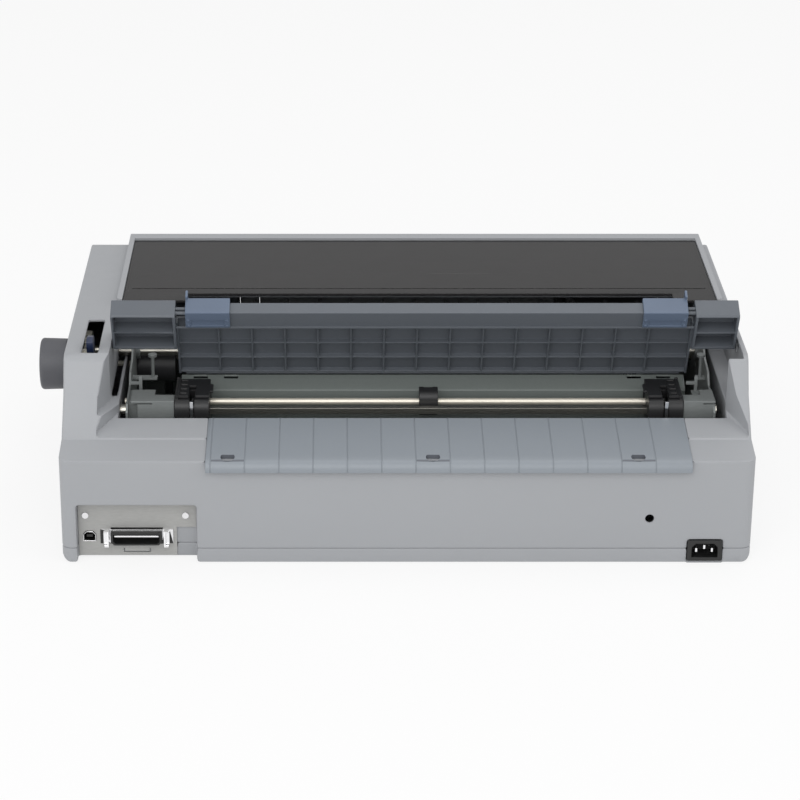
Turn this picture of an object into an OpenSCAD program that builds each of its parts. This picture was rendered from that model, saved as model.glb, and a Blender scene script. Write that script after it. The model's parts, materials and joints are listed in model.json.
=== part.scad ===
// Wide-carriage dot matrix printer, rear paper guide raised, push tractors in the open rear bay.
// Frame: X to the operator's right (knob side), Y to the rear, Z up; origin on the table under
// the middle of the case. Millimetres.

/* [Case] */
// Width of the case
case_w = 612; // [600:1:640]
// Depth from the front face to the rear crease
case_d = 396; // [390:1:410]
// Height of the seam between lower and upper case
seam_z = 14; // [12:1:20]
// Height of the rear wall, at the crease
rear_h = 98.5; // [94:0.5:100]
// Height of the side housings
horn_h = 166; // [165:0.5:168]
// Wall thickness of the case
wall = 3; // [2:0.5:3.5]
// Radius of the upright case corners
corner_r = 9; // [4:1:14]
// Radius of the lower edges at the case's ends
sill_r = 8; // [4:1:11]
// Radius of the front top edge
front_r = 26; // [15:1:30]
// Height of the rubber feet
foot_h = 2.6; // [2:0.1:3]
// Radius of the rubber feet
foot_r = 10; // [6:1:14]

/* [Rear bay] */
// Inner face of the knob-side housing
bay_right = 258; // [256:0.5:260]
// Inner face of the other housing
bay_left = -288; // [-290:0.5:-286]
// Front edge of the rear deck
deck_y = 127; // [126:0.5:130]
// Height of the deck at its front edge
deck_z = 111; // [108:0.5:112]
// Number of grooves across the deck
groove_n = 14; // [6:1:15]
// Distance between grooves
groove_pitch = 30; // [20:1:31]
// Width of a deck groove
groove_w = 1; // [0.8:0.2:4]
// Depth of a deck groove
groove_t = 0.6; // [0.4:0.1:1.8]
// Middle of the paper path
path_x = -22.5; // [-26:0.5:-20]

/* [Paper feed] */
// Radius of the platen
platen_r = 17; // [14:0.5:17.5]
// Length of the platen
platen_w = 456; // [400:1:460]
// Radius of the platen and tractor journals
journal_r = 5; // [4:0.25:5.5]
// Radius of the knob
knob_r = 23.75; // [20:0.25:26]
// Width of the knob
knob_w = 26; // [18:1:30]
// Radius of the tractor support shaft
support_r = 3.2; // [2.5:0.1:3.6]
// Side of the square tractor drive shaft
drive_side = 6; // [5:0.25:6.5]
// Width of a tractor
tractor_w = 31; // [26:1:32]
// Number of pins on a sprocket
pin_n = 8; // [6:1:10]

/* [Paper guide] */
// Lean of the raised guide from upright
guide_lean = 27.2; // [24:0.2:30]
// Length of the guide from lower edge to rail top
guide_len = 96; // [92:0.5:98]
// Depth of the top rail
rail_d = 12.5; // [10:0.5:14]
// Height of the rail's rear face
rail_h = 19; // [15:0.5:22]
// Number of upright ribs
guide_rib_n = 14; // [8:1:15]
// Depth of the guide's ribs
guide_rib_d = 7; // [4:0.5:8]
// Depth of the guide's end blocks
block_d = 16.5; // [15:0.5:20]
// Length of the bare rods between rail and end blocks
rail_end = 9; // [5:0.5:12]
// Width of an edge guide
edge_w = 40; // [30:1:44]

/* [Cover] */
// Height of the closed cover's top
cover_z = 174; // [173:0.5:175]
// Rear edge of the cover
cover_y = -6; // [-10:0.5:-2]
// Width of the cover's side frames
cover_side = 8; // [5:0.5:12]
// Thickness of the smoked window
window_t = 2.5; // [1.5:0.5:3]

/* [Print mechanism] */
// Thickness of the steel side frames
frame_t = 2; // [1.5:0.25:3]
// Radius of the carriage shaft
rail_r = 6; // [5:0.25:6.5]
// Tooth size of the feed gears
gear_m = 1.25; // [1.2:0.01:1.3]
// Width of the feed gears
gear_w = 6; // [4:0.5:6.5]

/* [Rear connectors] */
// Width of the interface recess
port_w = 106; // [100:1:110]
// Height of the interface recess
port_h = 55.5; // [50:0.5:60]
// Depth of the interface recess
port_d = 12; // [8:0.5:14]
// Width of the mains inlet
inlet_w = 31; // [29:0.5:33]
// Height of the mains inlet
inlet_h = 20; // [18:0.5:21]

/* [Clearances] */
// Radial clearance of a running shaft
run = 0.08; // [0.05:0.01:0.1]
// Gap between moving bodies
gap = 0.4; // [0.3:0.1:0.6]

/* [Hidden] */
$fn = 48;
half_w = case_w / 2;
rear_y = 195;
front_y = rear_y - case_d;
case_bottom = 0.6;
vent_y = front_y + 81;
// places of the shafts, [y, z]
knob_c = [45, 130];
platen_c = [2, 126];
drive_c = [100, 107];
support_c = [85, 109];
rail_c = [-45, 104];
// feed gears: tooth counts
knob_n = 20;
idler_n = 16;
platen_n = 28;
link_n = 28;
tractor_n = 20;
pinion_n = 14;
gear_x = 291;
bracket_x = 299;
bracket_t = 2;
bracket_top = horn_h - 8;
stud_r = 3;
// the raised guide turns about this pivot, [y, z]
guide_low = [39, 119];
pivot_up = 45;
pivot_c = guide_low + pivot_up * [sin(guide_lean), cos(guide_lean)];
pivot_r = 2.6;
guide_rib_x = -26;
guide_right = 264.8;
guide_left = -299;
block_right = 207;
block_left = -260;
// edge guides at rest, in from the end blocks
edge_in_right = 29.2;
edge_in_left = 27.2;
// cover hinge, [y, z]
hinge_c = [-187, 160];
hinge_bar_r = cover_z - hinge_c[1];
cover_right = 267.6;
cover_left = -298.4;
hinge_pin_r = 2.5;
cover_low = 163.4;
bar_y = hinge_c[0] + hinge_bar_r;
glass_z = cover_z - 2;
cover_corner_r = 6;
cross_bar_y = -40;
// ends of the paper exit, and the cut of the window over it
exit_cut_y = -26;
exit_x0 = -253;
exit_x1 = 202;
rib_shift = 11;
// bay and frames
frame_right = 250;
frame_left = -279;
chassis_z = 17;
bay_step_z = 120;
pocket_x = -301.5;
pocket_right = 266;
pocket_y = 114.5;
wall_y = front_y + 24;
bevel_x = 275;
// front
flap_x0 = -262;
flap_x1 = 140;
flap_z0 = 34;
flap_z1 = 128;
flap_t = 3;
flap_pin_r = 1.5;
panel_x0 = 160;
panel_x1 = 292;
panel_z0 = 62;
panel_z1 = 128;
button_n = 5;
button_pitch = 22;
button_w = 14;
button_h = 8;
button_z = 84;
lamp_z = 108;
rocker_x = 262;
rocker_z = 44;
// rear connectors
port_right = 292;
port_left = port_right - port_w;
socket_x = 239.7;
socket_z = 21.5;
socket_w = 45.5;
flange_w = 65;
clip_r = 0.9;
usb_x = 281.7;
usb_z = 21.5;
plate_step = 18;
inlet_x = -264.5;
inlet_z = 12.5;
// release lever
slot_x0 = 276;
slot_x1 = 291;
slot_y0 = 25;
slot_y1 = 107;
lever_x = 280.5;
lever_t = 6;
lever_c = [60, 92];
// tractors
tractor_right_x = 192.5;
tractor_left_x = -234.5;
sprocket_w = 11;
sprocket_r = 7.6;
sprocket_hub_r = 5.6;
tractor_top = 122;
flap_lift = 2.6;
flap_y0 = 70;
flap_y1 = 109;
flap_hinge_z = tractor_top + gap + 1.5;
flap_wire_r = 0.9;
lock_c = [114, 103];
lock_pin_r = 1.5;
// belt
belt_y = -105;
belt_z = 98;
pulley_r = 6;
pulley_right = 222;
pulley_left = -244;
carriage_home = -190;
ribbon_y = platen_c[0] - platen_r - 1.6;

// ---- helpers ----

// box between two corners
module block(x0, x1, y0, y1, z0, z1) {
    translate([x0, y0, z0]) cube([x1 - x0, y1 - y0, z1 - z0]);
}

// a [y, z] outline drawn out from x0 to x1
module along_x(x0, x1) {
    translate([x0, 0, 0]) rotate([90, 0, 90]) linear_extrude(x1 - x0) children();
}

// a [x, z] outline drawn out from y0 to y1
module along_y(y0, y1) {
    translate([0, y1, 0]) rotate([90, 0, 0]) linear_extrude(y1 - y0) children();
}

module rod_x(x0, x1, c, r) {
    translate([x0, c[0], c[1]]) rotate([0, 90, 0]) cylinder(h = x1 - x0, r = r);
}

module rod_y(x, y0, y1, z, r) {
    translate([x, y1, z]) rotate([90, 0, 0]) cylinder(h = y1 - y0, r = r);
}

module rod_z(x, y, z0, z1, r) {
    translate([x, y, z0]) cylinder(h = z1 - z0, r = r);
}

// rectangle with round corners, by its corners
module round_rect(x0, x1, y0, y1, r) {
    translate([x0 + r, y0]) square([x1 - x0 - 2 * r, y1 - y0]);
    translate([x0, y0 + r]) square([x1 - x0, y1 - y0 - 2 * r]);
    for (x = [x0 + r, x1 - r], y = [y0 + r, y1 - r]) translate([x, y]) circle(r = r);
}

function arc(c, r, a0, a1, n) =
    [for (i = [0:n]) c + r * [cos(a0 + (a1 - a0) * i / n), sin(a0 + (a1 - a0) * i / n)]];

// ---- gears ----

// a point on the involute of base radius rb, unrolled by t degrees
function involute(rb, t) = [rb * (cos(t) + t * PI / 180 * sin(t)), rb * (sin(t) - t * PI / 180 * cos(t))];
function turn(p, a) = [p[0] * cos(a) - p[1] * sin(a), p[0] * sin(a) + p[1] * cos(a)];
// unroll angle that reaches radius r
function unroll(rb, r) = r > rb ? sqrt(r * r / (rb * rb) - 1) * 180 / PI : 0;
gear_pressure = 25;
gear_slack = 0.35;

module gear_outline(n, phase) {
    rp = gear_m * n / 2;
    rb = rp * cos(gear_pressure);
    tip = rp + 0.75 * gear_m;
    root = rp - 1.15 * gear_m;
    tp = unroll(rb, rp);
    pitch_point = involute(rb, tp);
    half_tooth = 90 / n - gear_slack / 2 / rp * 180 / PI / 2;
    shift = atan2(pitch_point[1], pitch_point[0]) + half_tooth;
    steps = 3;
    flank = [for (i = [0:steps]) turn(involute(rb, unroll(rb, tip) * i / steps), -shift)];
    low = root * [cos(shift), -sin(shift)];
    side = concat([low], flank);
    tooth = concat(side, [for (i = [len(side) - 1:-1:0]) [side[i][0], -side[i][1]]]);
    polygon([for (k = [0:n - 1]) for (p = tooth) turn(p, phase + 360 * k / n)]);
}

// gear centred on [y, z], one tooth pointing at phase degrees from +Y towards +Z
module gear(n, c, phase, bore) {
    translate([gear_x, c[0], c[1]]) rotate([90, 0, 90]) linear_extrude(gear_w) difference() {
        gear_outline(n, phase);
        circle(r = bore);
    }
}

function pitch_r(n) = gear_m * n / 2;
function heading(a, b) = atan2(b[1] - a[1], b[0] - a[0]);
// centre of a gear of n teeth in mesh with gears at a and b, on the lower side
function mesh_point(a, na, b, nb, n) =
    let (d = norm(b - a), ra = pitch_r(na) + pitch_r(n), rb = pitch_r(nb) + pitch_r(n))
    let (u = (b - a) / d, s = (ra * ra - rb * rb + d * d) / 2 / d, h = sqrt(ra * ra - s * s))
    let (side = u[0] > 0 ? [u[1], -u[0]] : [-u[1], u[0]])
    a + u * s + side * h;
// tooth phase of gear b driven by gear a
function mesh_phase(a, na, pa, b, nb) =
    let (h = heading(a, b)) h + 180 + 180 / nb - (pa - h) * na / nb;

idler_c = mesh_point(knob_c, knob_n, platen_c, platen_n, idler_n);
link_c = mesh_point(knob_c, knob_n, drive_c, tractor_n, link_n);
pinion_reach = pitch_r(platen_n) + pitch_r(pinion_n);
pinion_c = platen_c + pinion_reach * [cos(230), sin(230)];
knob_phase = 0;
idler_phase = mesh_phase(knob_c, knob_n, knob_phase, idler_c, idler_n);
platen_phase = mesh_phase(idler_c, idler_n, idler_phase, platen_c, platen_n);
pinion_phase = mesh_phase(platen_c, platen_n, platen_phase, pinion_c, pinion_n);
link_phase = mesh_phase(knob_c, knob_n, knob_phase, link_c, link_n);
tractor_phase = mesh_phase(link_c, link_n, link_phase, drive_c, tractor_n);

// ---- case ----

// side view of the case, moved in by t all round
function case_side(t) = concat([
    [front_y + t, seam_z],
    [rear_y - t, seam_z],
    [rear_y - t, rear_h - t],
    [160 - t, 104 - t],
    [130 - t, 135 - t],
    [117 - t, horn_h - 4 - t],
    [109 - t, horn_h - t]],
    arc([front_y + front_r, horn_h - front_r], front_r - t, 90, 180, 8));

module case_plan(t) {
    round_rect(t - half_w, half_w - t, front_y + t, rear_y - t, corner_r - t / 2);
}

module case_body(t) {
    intersection() {
        along_x(t - half_w, half_w - t) polygon(case_side(t));
        translate([0, 0, seam_z - 1]) linear_extrude(horn_h) case_plan(t);
    }
}

// height of the deck at y, with the deck's slope
function deck_h(y) = rear_h + (deck_z - rear_h) * (rear_y - y) / (rear_y - deck_y);

// everything above the deck and between the side housings
module bay_space() {
    // over the deck
    along_x(bay_left, bay_right) polygon([[rear_y + 1, deck_h(rear_y + 1)], [deck_y, deck_z],
        [deck_y, horn_h + 1], [rear_y + 1, horn_h + 1]]);
    // the bay itself, down to the chassis
    block(bay_left, bay_right, hinge_c[0] + hinge_bar_r + 1, deck_y, 30, horn_h + 1);
    // wider above the step, where the paper guide swings
    block(pocket_x, bay_right, -14, pocket_y, bay_step_z, horn_h + 1);
    block(bay_right - 1, pocket_right, -14, pocket_y, bay_step_z, horn_h + 1);
    // room for the cover, on its ledges
    block(cover_left - gap, cover_right + gap, front_y + front_r, cover_y + 1.1, cover_low - gap, horn_h + 1);
    block(cover_left - gap, cover_right + gap, front_y - 1, front_y + front_r + 1, hinge_c[1], horn_h + 1);
}

module side_walls() {
    // skins that line the bay between the housings
    block(bay_right, bay_right + wall, wall_y, deck_y + 40, seam_z, bay_step_z + wall);
    block(bay_right, pocket_right + wall, wall_y, deck_y - 8, bay_step_z, bay_step_z + wall);
    block(pocket_right, pocket_right + wall, wall_y, deck_y, bay_step_z, horn_h - 1);
    block(pocket_right, pocket_right + 8, pivot_c[0] - 9, pivot_c[0] + 9, pivot_c[1] - 9, horn_h - 1);
    block(bay_left - wall, bay_left, wall_y, deck_y + 40, seam_z, horn_h - 1);
    block(-half_w + 1, bay_left, deck_y - 14, deck_y - 11, bay_step_z - 6, horn_h - 2);
    block(-half_w + 1, bay_left, -14, 113, bay_step_z - wall, bay_step_z);
    block(-half_w + 1, pocket_x, pivot_c[0] - 9, pivot_c[0] + 9, pivot_c[1] - 9, horn_h - 1);
    block(-half_w + 1, bay_left, -17, -14, bay_step_z - 6, horn_h - 4);
    // solid rear corners, bevelled towards the bay
    block(bay_right, bevel_x + 4, 96, 162, 60, horn_h - 1);
    block(-half_w + 1, bay_left, deck_y - 11, 162, 60, horn_h - 1);
}

// bevels on the housings' rear inner corners
module bevels() {
    intersection() {
        union() {
            translate([0, 0, bay_step_z]) linear_extrude(60) polygon([[bay_right - 2, 200], [bevel_x, 200],
                [bevel_x, 131], [pocket_right, 108], [bay_right - 2, 108]]);
            translate([0, 0, 60]) linear_extrude(61) polygon([[bay_right - 2, 200], [bevel_x, 200],
                [bevel_x, 152], [bay_right, 116], [bay_right - 2, 116]]);
            translate([0, 0, 60]) linear_extrude(120) polygon([[bay_left + 2, 200], [2.5 - half_w, 200],
                [2.5 - half_w, 150], [bay_left, 116], [bay_left + 2, 116]]);
        }
        along_x(-half_w, half_w) polygon([[rear_y + 1, deck_h(rear_y + 1)], [90, deck_h(90)],
            [90, horn_h + 1], [rear_y + 1, horn_h + 1]]);
    }
}

module upper_case() {
    color([0.60, 0.61, 0.63]) difference() {
        union() {
            difference() {
                case_body(0);
                difference() {
                    case_body(wall);
                    side_walls();
                    // wall behind the connectors and deck skin
                    block(port_left - wall, port_right + wall, rear_y - port_d - wall, rear_y, 5,
                        port_h + wall);
                    along_x(bay_left - 1, bay_right + 1) polygon([[rear_y, deck_h(rear_y) - wall],
                        [deck_y + wall, deck_h(deck_y + wall) - wall], [deck_y + wall, 60], [deck_y, 60],
                        [deck_y, deck_z + 1], [rear_y, deck_h(rear_y) + 1]]);
                    // ears of the front flap
                    for (x = [flap_x0 - 7, flap_x1 + gap])
                        block(x, x + 7 - gap, front_y, front_y + 9, flap_z0 - 6, flap_z0 + 6);
                    // skins round the cover's hinge and the pale pad
                    block(-half_w, half_w, front_y, front_y + 24, hinge_c[1] - 18, horn_h);
                    block(cover_right, half_w, hinge_c[0] - 9, hinge_c[0] + 9, hinge_c[1] - 9, horn_h);
                    // bosses that carry the gear bracket
                    for (p = [[20, bracket_top - 8], [120, 122], [-22, 128]])
                        rod_x(bracket_x + bracket_t, half_w, p, 4);
                }
            }
        }
        bay_space();
        bevels();
        // round trough under the cover's front bar
        rod_x(cover_left - gap, cover_right + gap, hinge_c, hinge_bar_r + gap);
        rod_x(cover_left - 4, cover_right + 5, hinge_c, hinge_pin_r + run);
        // guide pivots
        rod_x(guide_left - 5, guide_right + 7, pivot_c, pivot_r + run);
        // recess of the deck panel
        along_x(deck_x0 - deck_fit, deck_x1 + deck_fit) polygon([[rear_y + 1, deck_h(rear_y) - 2.6],
            [deck_y - 1, deck_z - 2.6], [deck_y - 1, deck_z + 1], [rear_y + 1, rear_h + 1]]);
        // interface recess and its sockets
        block(port_left, port_right, rear_y - port_d, rear_y + 1, 0, port_h);
        block(port_left + 20, port_right - 4, rear_y - 30, rear_y, 8, 38);
        // mains inlet
        block(inlet_x - inlet_w / 2 - 0.3, inlet_x + inlet_w / 2 + 0.3, rear_y - 10, rear_y + 1,
            0, inlet_z + inlet_h / 2 + 0.3);
        // small round hole in the rear wall
        rod_y(-214.5, rear_y - 10, rear_y + 1, 43, 3.85);
        // lever slot in the housing top
        block(slot_x0, slot_x1, slot_y0, slot_y1, horn_h - 12, horn_h + 1);
        // holes for the knob's shaft, the platen, the drive shaft and the motor's shaft
        rod_x(bracket_x, half_w + 1, knob_c, journal_r + run);
        for (c = [platen_c, drive_c, pinion_c]) rod_x(bay_right - 2, bevel_x + 6, c, journal_r + 1.4);
        rod_x(bay_right - 2, bay_right + 5, support_c, support_r + 1);
        rod_x(flap_x0 - 3.4, flap_x1 + 3.4, [front_y + flap_t, flap_z0], flap_pin_r + run);
        // openings in the front face
        block(flap_x0 - gap, flap_x1 + gap, front_y - 1, front_y + flap_t + 0.6, flap_z0 - 4, flap_z1 + gap);
        block(flap_x0 + 12, flap_x1 - 12, front_y - 1, front_y + 40, flap_z0 + 6, flap_z1 - 8);
        block(panel_x0 - gap, panel_x1 + gap, front_y - 1, front_y + wall + 1, panel_z0 - gap,
            panel_z1 + gap);
        block(rocker_x - 12.5, rocker_x + 12.5, front_y - 1, front_y + wall + 1, rocker_z - 8.5,
            rocker_z + 8.5);
        // vents low in the wall away from the knob
        for (i = [0:13]) block(-half_w - 1, 1 - half_w + wall, vent_y + 12 * i, vent_y + 12 * i + 6, 30, 74);
    }
}

// rear view of the lower case, round at the ends, moved in by t
module sill(t) {
    for (s = [-1, 1]) translate([s * (half_w - sill_r), case_bottom + sill_r]) circle(r = sill_r - t);
    translate([sill_r - half_w, case_bottom + t]) square([case_w - 2 * sill_r, seam_z]);
    translate([t - half_w, case_bottom + sill_r]) square([case_w - 2 * t, seam_z]);
}

// tub with a wall all round, moved in by t
module tub(t) {
    intersection() {
        translate([0, 0, case_bottom + t]) linear_extrude(seam_z + (t > 0 ? 1 : 0) - case_bottom - t)
            case_plan(t);
        along_y(front_y - 1, rear_y + 1) sill(t);
    }
}

module lower_case() {
    color([0.58, 0.59, 0.61]) difference() {
        union() {
            difference() {
                tub(0);
                tub(wall);
            }
            // posts under the chassis
            for (x = [-250, -90, 80, 235], y = [-130, 100])
                rod_z(x, y, case_bottom + 1, chassis_z, 6);
            // shelf behind the connectors
            block(port_left - wall, port_right + wall, rear_y - port_d - wall, rear_y - 1, case_bottom,
                seam_z);
        }
        block(port_left, port_right, rear_y - port_d, rear_y + 1, 0, seam_z + 1);
        block(port_left + plate_step, port_right - 6, rear_y - 25, rear_y - 10, 8.5, seam_z + 1);
        block(inlet_x - inlet_w / 2 - 0.3, inlet_x + inlet_w / 2 + 0.3, rear_y - 10, rear_y + 1,
            inlet_z - inlet_h / 2 - 0.3, seam_z + 1);
        // sunk seats of the feet
        for (p = foot_places) rod_z(p[0], p[1], 0, foot_h - 0.5, foot_r + 0.3);
    }
}

// one foot in the middle, four at the corners
foot_places = concat([[0, 0]], [for (x = [-262, 262], y = [-160, 150]) [x, y]]);

module rubber_feet() {
    color([0.15, 0.15, 0.15]) for (p = foot_places) translate([p[0], p[1], 0]) {
        cylinder(h = 0.5, r = foot_r - 1);
        translate([0, 0, 0.5]) cylinder(h = foot_h - 1, r = foot_r);
    }
}

deck_x0 = -249.5;
deck_x1 = 177;
deck_fit = 0.15;
// the lip over the crease
lip_r = 9;
lip_c = [192, 91.5];
lip_z = 90;
notch_r = 6.2;
notch_pitch = 180;

// the deck panel's top line, lowered by t, from its front edge to the lip under the crease
function deck_top(t) = concat([[deck_y, deck_z - t], [188, deck_h(188) + 1.6 - t]],
    arc(lip_c, lip_r - t, 75, 0, 5), [[lip_c[0] + lip_r - t, lip_z]]);

module rear_deck() {
    under = [[rear_y + deck_fit, lip_z], [rear_y + deck_fit, deck_h(rear_y) - 2.3], [deck_y, deck_z - 2.3]];
    color([0.50, 0.53, 0.56]) difference() {
        along_x(deck_x0, deck_x1) polygon(concat(deck_top(0), under));
        // grooves run over the crease
        for (i = [0:groove_n - 1]) {
            x = path_x + (i - (groove_n - 1) / 2) * groove_pitch;
            along_x(x - groove_w / 2, x + groove_w / 2) polygon(concat(
                [for (p = deck_top(-1)) [p[0] + 1.5, p[1]]], [[lip_c[0] + lip_r - groove_t, lip_z - 5]],
                [for (i = [len(deck_top(groove_t)) - 2:-1:0]) deck_top(groove_t)[i]]));
        }
        // three half-round finger notches, straight edge to the front
        for (i = [-1:1]) translate([path_x + notch_pitch * i, lip_c[0] - 1.7, 97.2]) difference() {
            cylinder(h = 8, r = notch_r);
            translate([-notch_r - 1, -2 * notch_r - 3.3, -1]) cube([2 * notch_r + 2, 2 * notch_r, 10]);
        }
    }
}

// ---- front ----

module front_flap() {
    w0 = flap_x0;
    w1 = flap_x1;
    color([0.60, 0.61, 0.63]) difference() {
        union() {
            block(w0, w1, front_y, front_y + flap_t, flap_z0, flap_z1);
            // rolled lower edge round the hinge line
            rod_x(w0, w1, [front_y + flap_t, flap_z0], flap_t);
            for (x = [w0 + 60, (w0 + w1) / 2, w1 - 60])
                block(x - 1, x + 1, front_y + 1, front_y + 8, flap_z0 + 8, flap_z1 - 12);
        }
        // finger scoop at the top edge
        block((w0 + w1) / 2 - 30, (w0 + w1) / 2 + 30, front_y - 1, front_y + 1.2, flap_z1 - 10, flap_z1 + 1);
    }
    color([0.60, 0.61, 0.63]) for (x = [w0 - 3, w1 - 0.1])
        rod_x(x, x + 3.1, [front_y + flap_t, flap_z0], flap_pin_r);
}

module control_panel() {
    color([0.42, 0.45, 0.5]) difference() {
        block(panel_x0, panel_x1, front_y, front_y + wall, panel_z0, panel_z1);
        for (i = [0:button_n - 1]) {
            x = button_x(i);
            block(x - button_w / 2 - gap, x + button_w / 2 + gap, front_y - 1, front_y + wall + 1,
                button_z - button_h / 2 - gap, button_z + button_h / 2 + gap);
            for (dx = [-4, 4]) rod_y(x + dx, front_y - 1, front_y + wall + 1, lamp_z, 1.6);
        }
    }
    // board behind the panel
    color([0.2, 0.4, 0.25]) block(panel_x0 + 3, panel_x1 - 3, front_y + 9, front_y + 10.6, panel_z0 + 2,
        panel_z1 - 2);
    color([0.42, 0.45, 0.5]) for (x = [panel_x0 + 5, panel_x1 - 5], z = [panel_z0 + 5, panel_z1 - 5])
        rod_y(x, front_y + wall, front_y + 9, z, 2);
}

function button_x(i) = (panel_x0 + panel_x1) / 2 + (i - (button_n - 1) / 2) * button_pitch;

module panel_lamps() {
    color([0.3, 0.7, 0.35]) for (i = [0:button_n - 1], dx = [-4, 4])
        rod_y(button_x(i) + dx, front_y + 0.2, front_y + 9, lamp_z, 1.45);
}

module panel_button(i) {
    x = button_x(i);
    color([0.72, 0.73, 0.75]) {
        block(x - button_w / 2, x + button_w / 2, front_y - 1.6, front_y + wall + 1.6,
            button_z - button_h / 2, button_z + button_h / 2);
        block(x - button_w / 2 - 1, x + button_w / 2 + 1, front_y + wall + 0.2, front_y + wall + 1.6,
            button_z - button_h / 2 - 1, button_z + button_h / 2 + 1);
        block(x - 2, x + 2, front_y + wall + 1, front_y + 7.4, button_z - 2, button_z + 2);
    }
}
module button_pause() { panel_button(0); }
module button_tear_off() { panel_button(1); }
module button_feed() { panel_button(2); }
module button_font() { panel_button(3); }
module button_pitch_select() { panel_button(4); }

module power_switch() {
    color([0.1, 0.1, 0.1]) difference() {
        union() {
            block(rocker_x - 12, rocker_x + 12, front_y - 0.8, front_y + 18, rocker_z - 8, rocker_z + 8);
            block(rocker_x - 14, rocker_x + 14, front_y - 1.6, front_y, rocker_z - 10, rocker_z + 10);
        }
        block(rocker_x - 9.5, rocker_x + 9.5, front_y - 3, front_y + 9, rocker_z - 7.2, rocker_z + 7.2);
        rod_x(rocker_x - 11, rocker_x + 11, [front_y + 3, rocker_z], 1.2 + run);
    }
}

module power_rocker() {
    color([0.12, 0.12, 0.12]) {
        along_x(rocker_x - 9.1, rocker_x + 9.1) polygon([[front_y - 3.2, rocker_z - 5.4],
            [front_y + 4, rocker_z - 5.2], [front_y + 4, rocker_z + 5.2], [front_y - 1.2, rocker_z + 5.6],
            [front_y - 1.4, rocker_z]]);
        rod_x(rocker_x - 10.8, rocker_x + 10.8, [front_y + 3, rocker_z], 1.2);
    }
}

// ---- cover ----

// the hinged cover is a tube along the front and two arms; the window ties them together
module printer_cover() {
    x0 = cover_left + cover_side;
    x1 = cover_right - cover_side;
    color([0.62, 0.63, 0.65]) intersection() {
        difference() {
            union() {
                block(cover_left, cover_right, hinge_c[0], cover_y, cover_low, cover_z);
                rod_x(cover_left, cover_right, hinge_c, hinge_bar_r);
            }
            block(x0, x1, bar_y, cover_y + 1, glass_z - window_t - 1, cover_z + 1);
            block(x0, x1, bar_y, cross_bar_y - 3, cover_low - 1, cover_z);
            block(x0, x1, cross_bar_y + 3, cover_y + 1, cover_low - 1, cover_z);
            // rebate of the window
            block(x0 - 3, x1 + 3, bar_y - 3, cover_y + 1, glass_z - window_t, cover_z + 1);
            // hollow of the tube, open below
            rod_x(cover_left + 4, cover_right - 4, hinge_c, hinge_bar_r - 4);
            block(x0, x1, hinge_c[0] - 4, hinge_c[0] + 4, hinge_c[1] - hinge_bar_r - 1, hinge_c[1]);
        }
        linear_extrude(cover_z + 1) round_rect(cover_left, cover_right, hinge_c[0] - hinge_bar_r - 0.1,
            cover_y + 0.1, cover_corner_r);
    }
    color([0.62, 0.63, 0.65]) {
        rod_x(cover_left - 3.6, cover_left + 1, hinge_c, hinge_pin_r);
        rod_x(cover_right - 1, cover_right + 4.4, hinge_c, hinge_pin_r);
    }
}

module cover_window() {
    color([0.12, 0.12, 0.13, 0.85]) {
        difference() {
            block(cover_left + cover_side - 3, cover_right - cover_side + 3, bar_y - 3, cover_y - 2,
                glass_z - window_t, glass_z);
            // cut back over the ribs of the paper exit
            block(exit_x0, exit_x1, exit_cut_y, cover_y, glass_z - window_t - 1, glass_z + 1);
        }
        // fine ridge along the cut
        block(cover_left + cover_side + 4, cover_right - cover_side - 4, cross_bar_y - 0.5, cross_bar_y + 0.5,
            glass_z - 1, glass_z + 0.4);
    }
}

// ---- print mechanism ----

// top and rear face of the frames' bearing steps
lug_z = 121.6;
step_y = 114;

module chassis() {
    color([0.66, 0.67, 0.68]) difference() {
        union() {
            block(frame_left, frame_right + frame_t, -150, 118, chassis_z, chassis_z + frame_t);
            block(frame_left + frame_t, frame_right, 116, 118, chassis_z, 44);
            block(frame_left, frame_right + frame_t, -150, -148, chassis_z, 40);
            // cross rail that steadies the carriage
            block(frame_left + frame_t, frame_right, -84, -82, chassis_z, 112);
            block(frame_left + frame_t, frame_right, -84, -76, 110, 112);
            // post of the belt's far pulley
            rod_z(pulley_right, belt_y, chassis_z + frame_t, 108, 2.5);
        }
        for (x = [-200:100:200]) block(x - 30, x + 30, -85, -81, 30, 90);
        for (x = [-210:70:210]) block(x - 14, x + 14, 60, 100, chassis_z - 1, chassis_z + frame_t + 1);
    }
}

// side view of a steel side frame
function frame_side() = [[-146, chassis_z + frame_t], [114, chassis_z + frame_t], [118, 60], [118, 112],
    [112, 118], [74, 120], [66, 130], [40, 133], [20, 146], [-20, 150], [-60, 132], [-120, 118], [-146, 90]];

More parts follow.
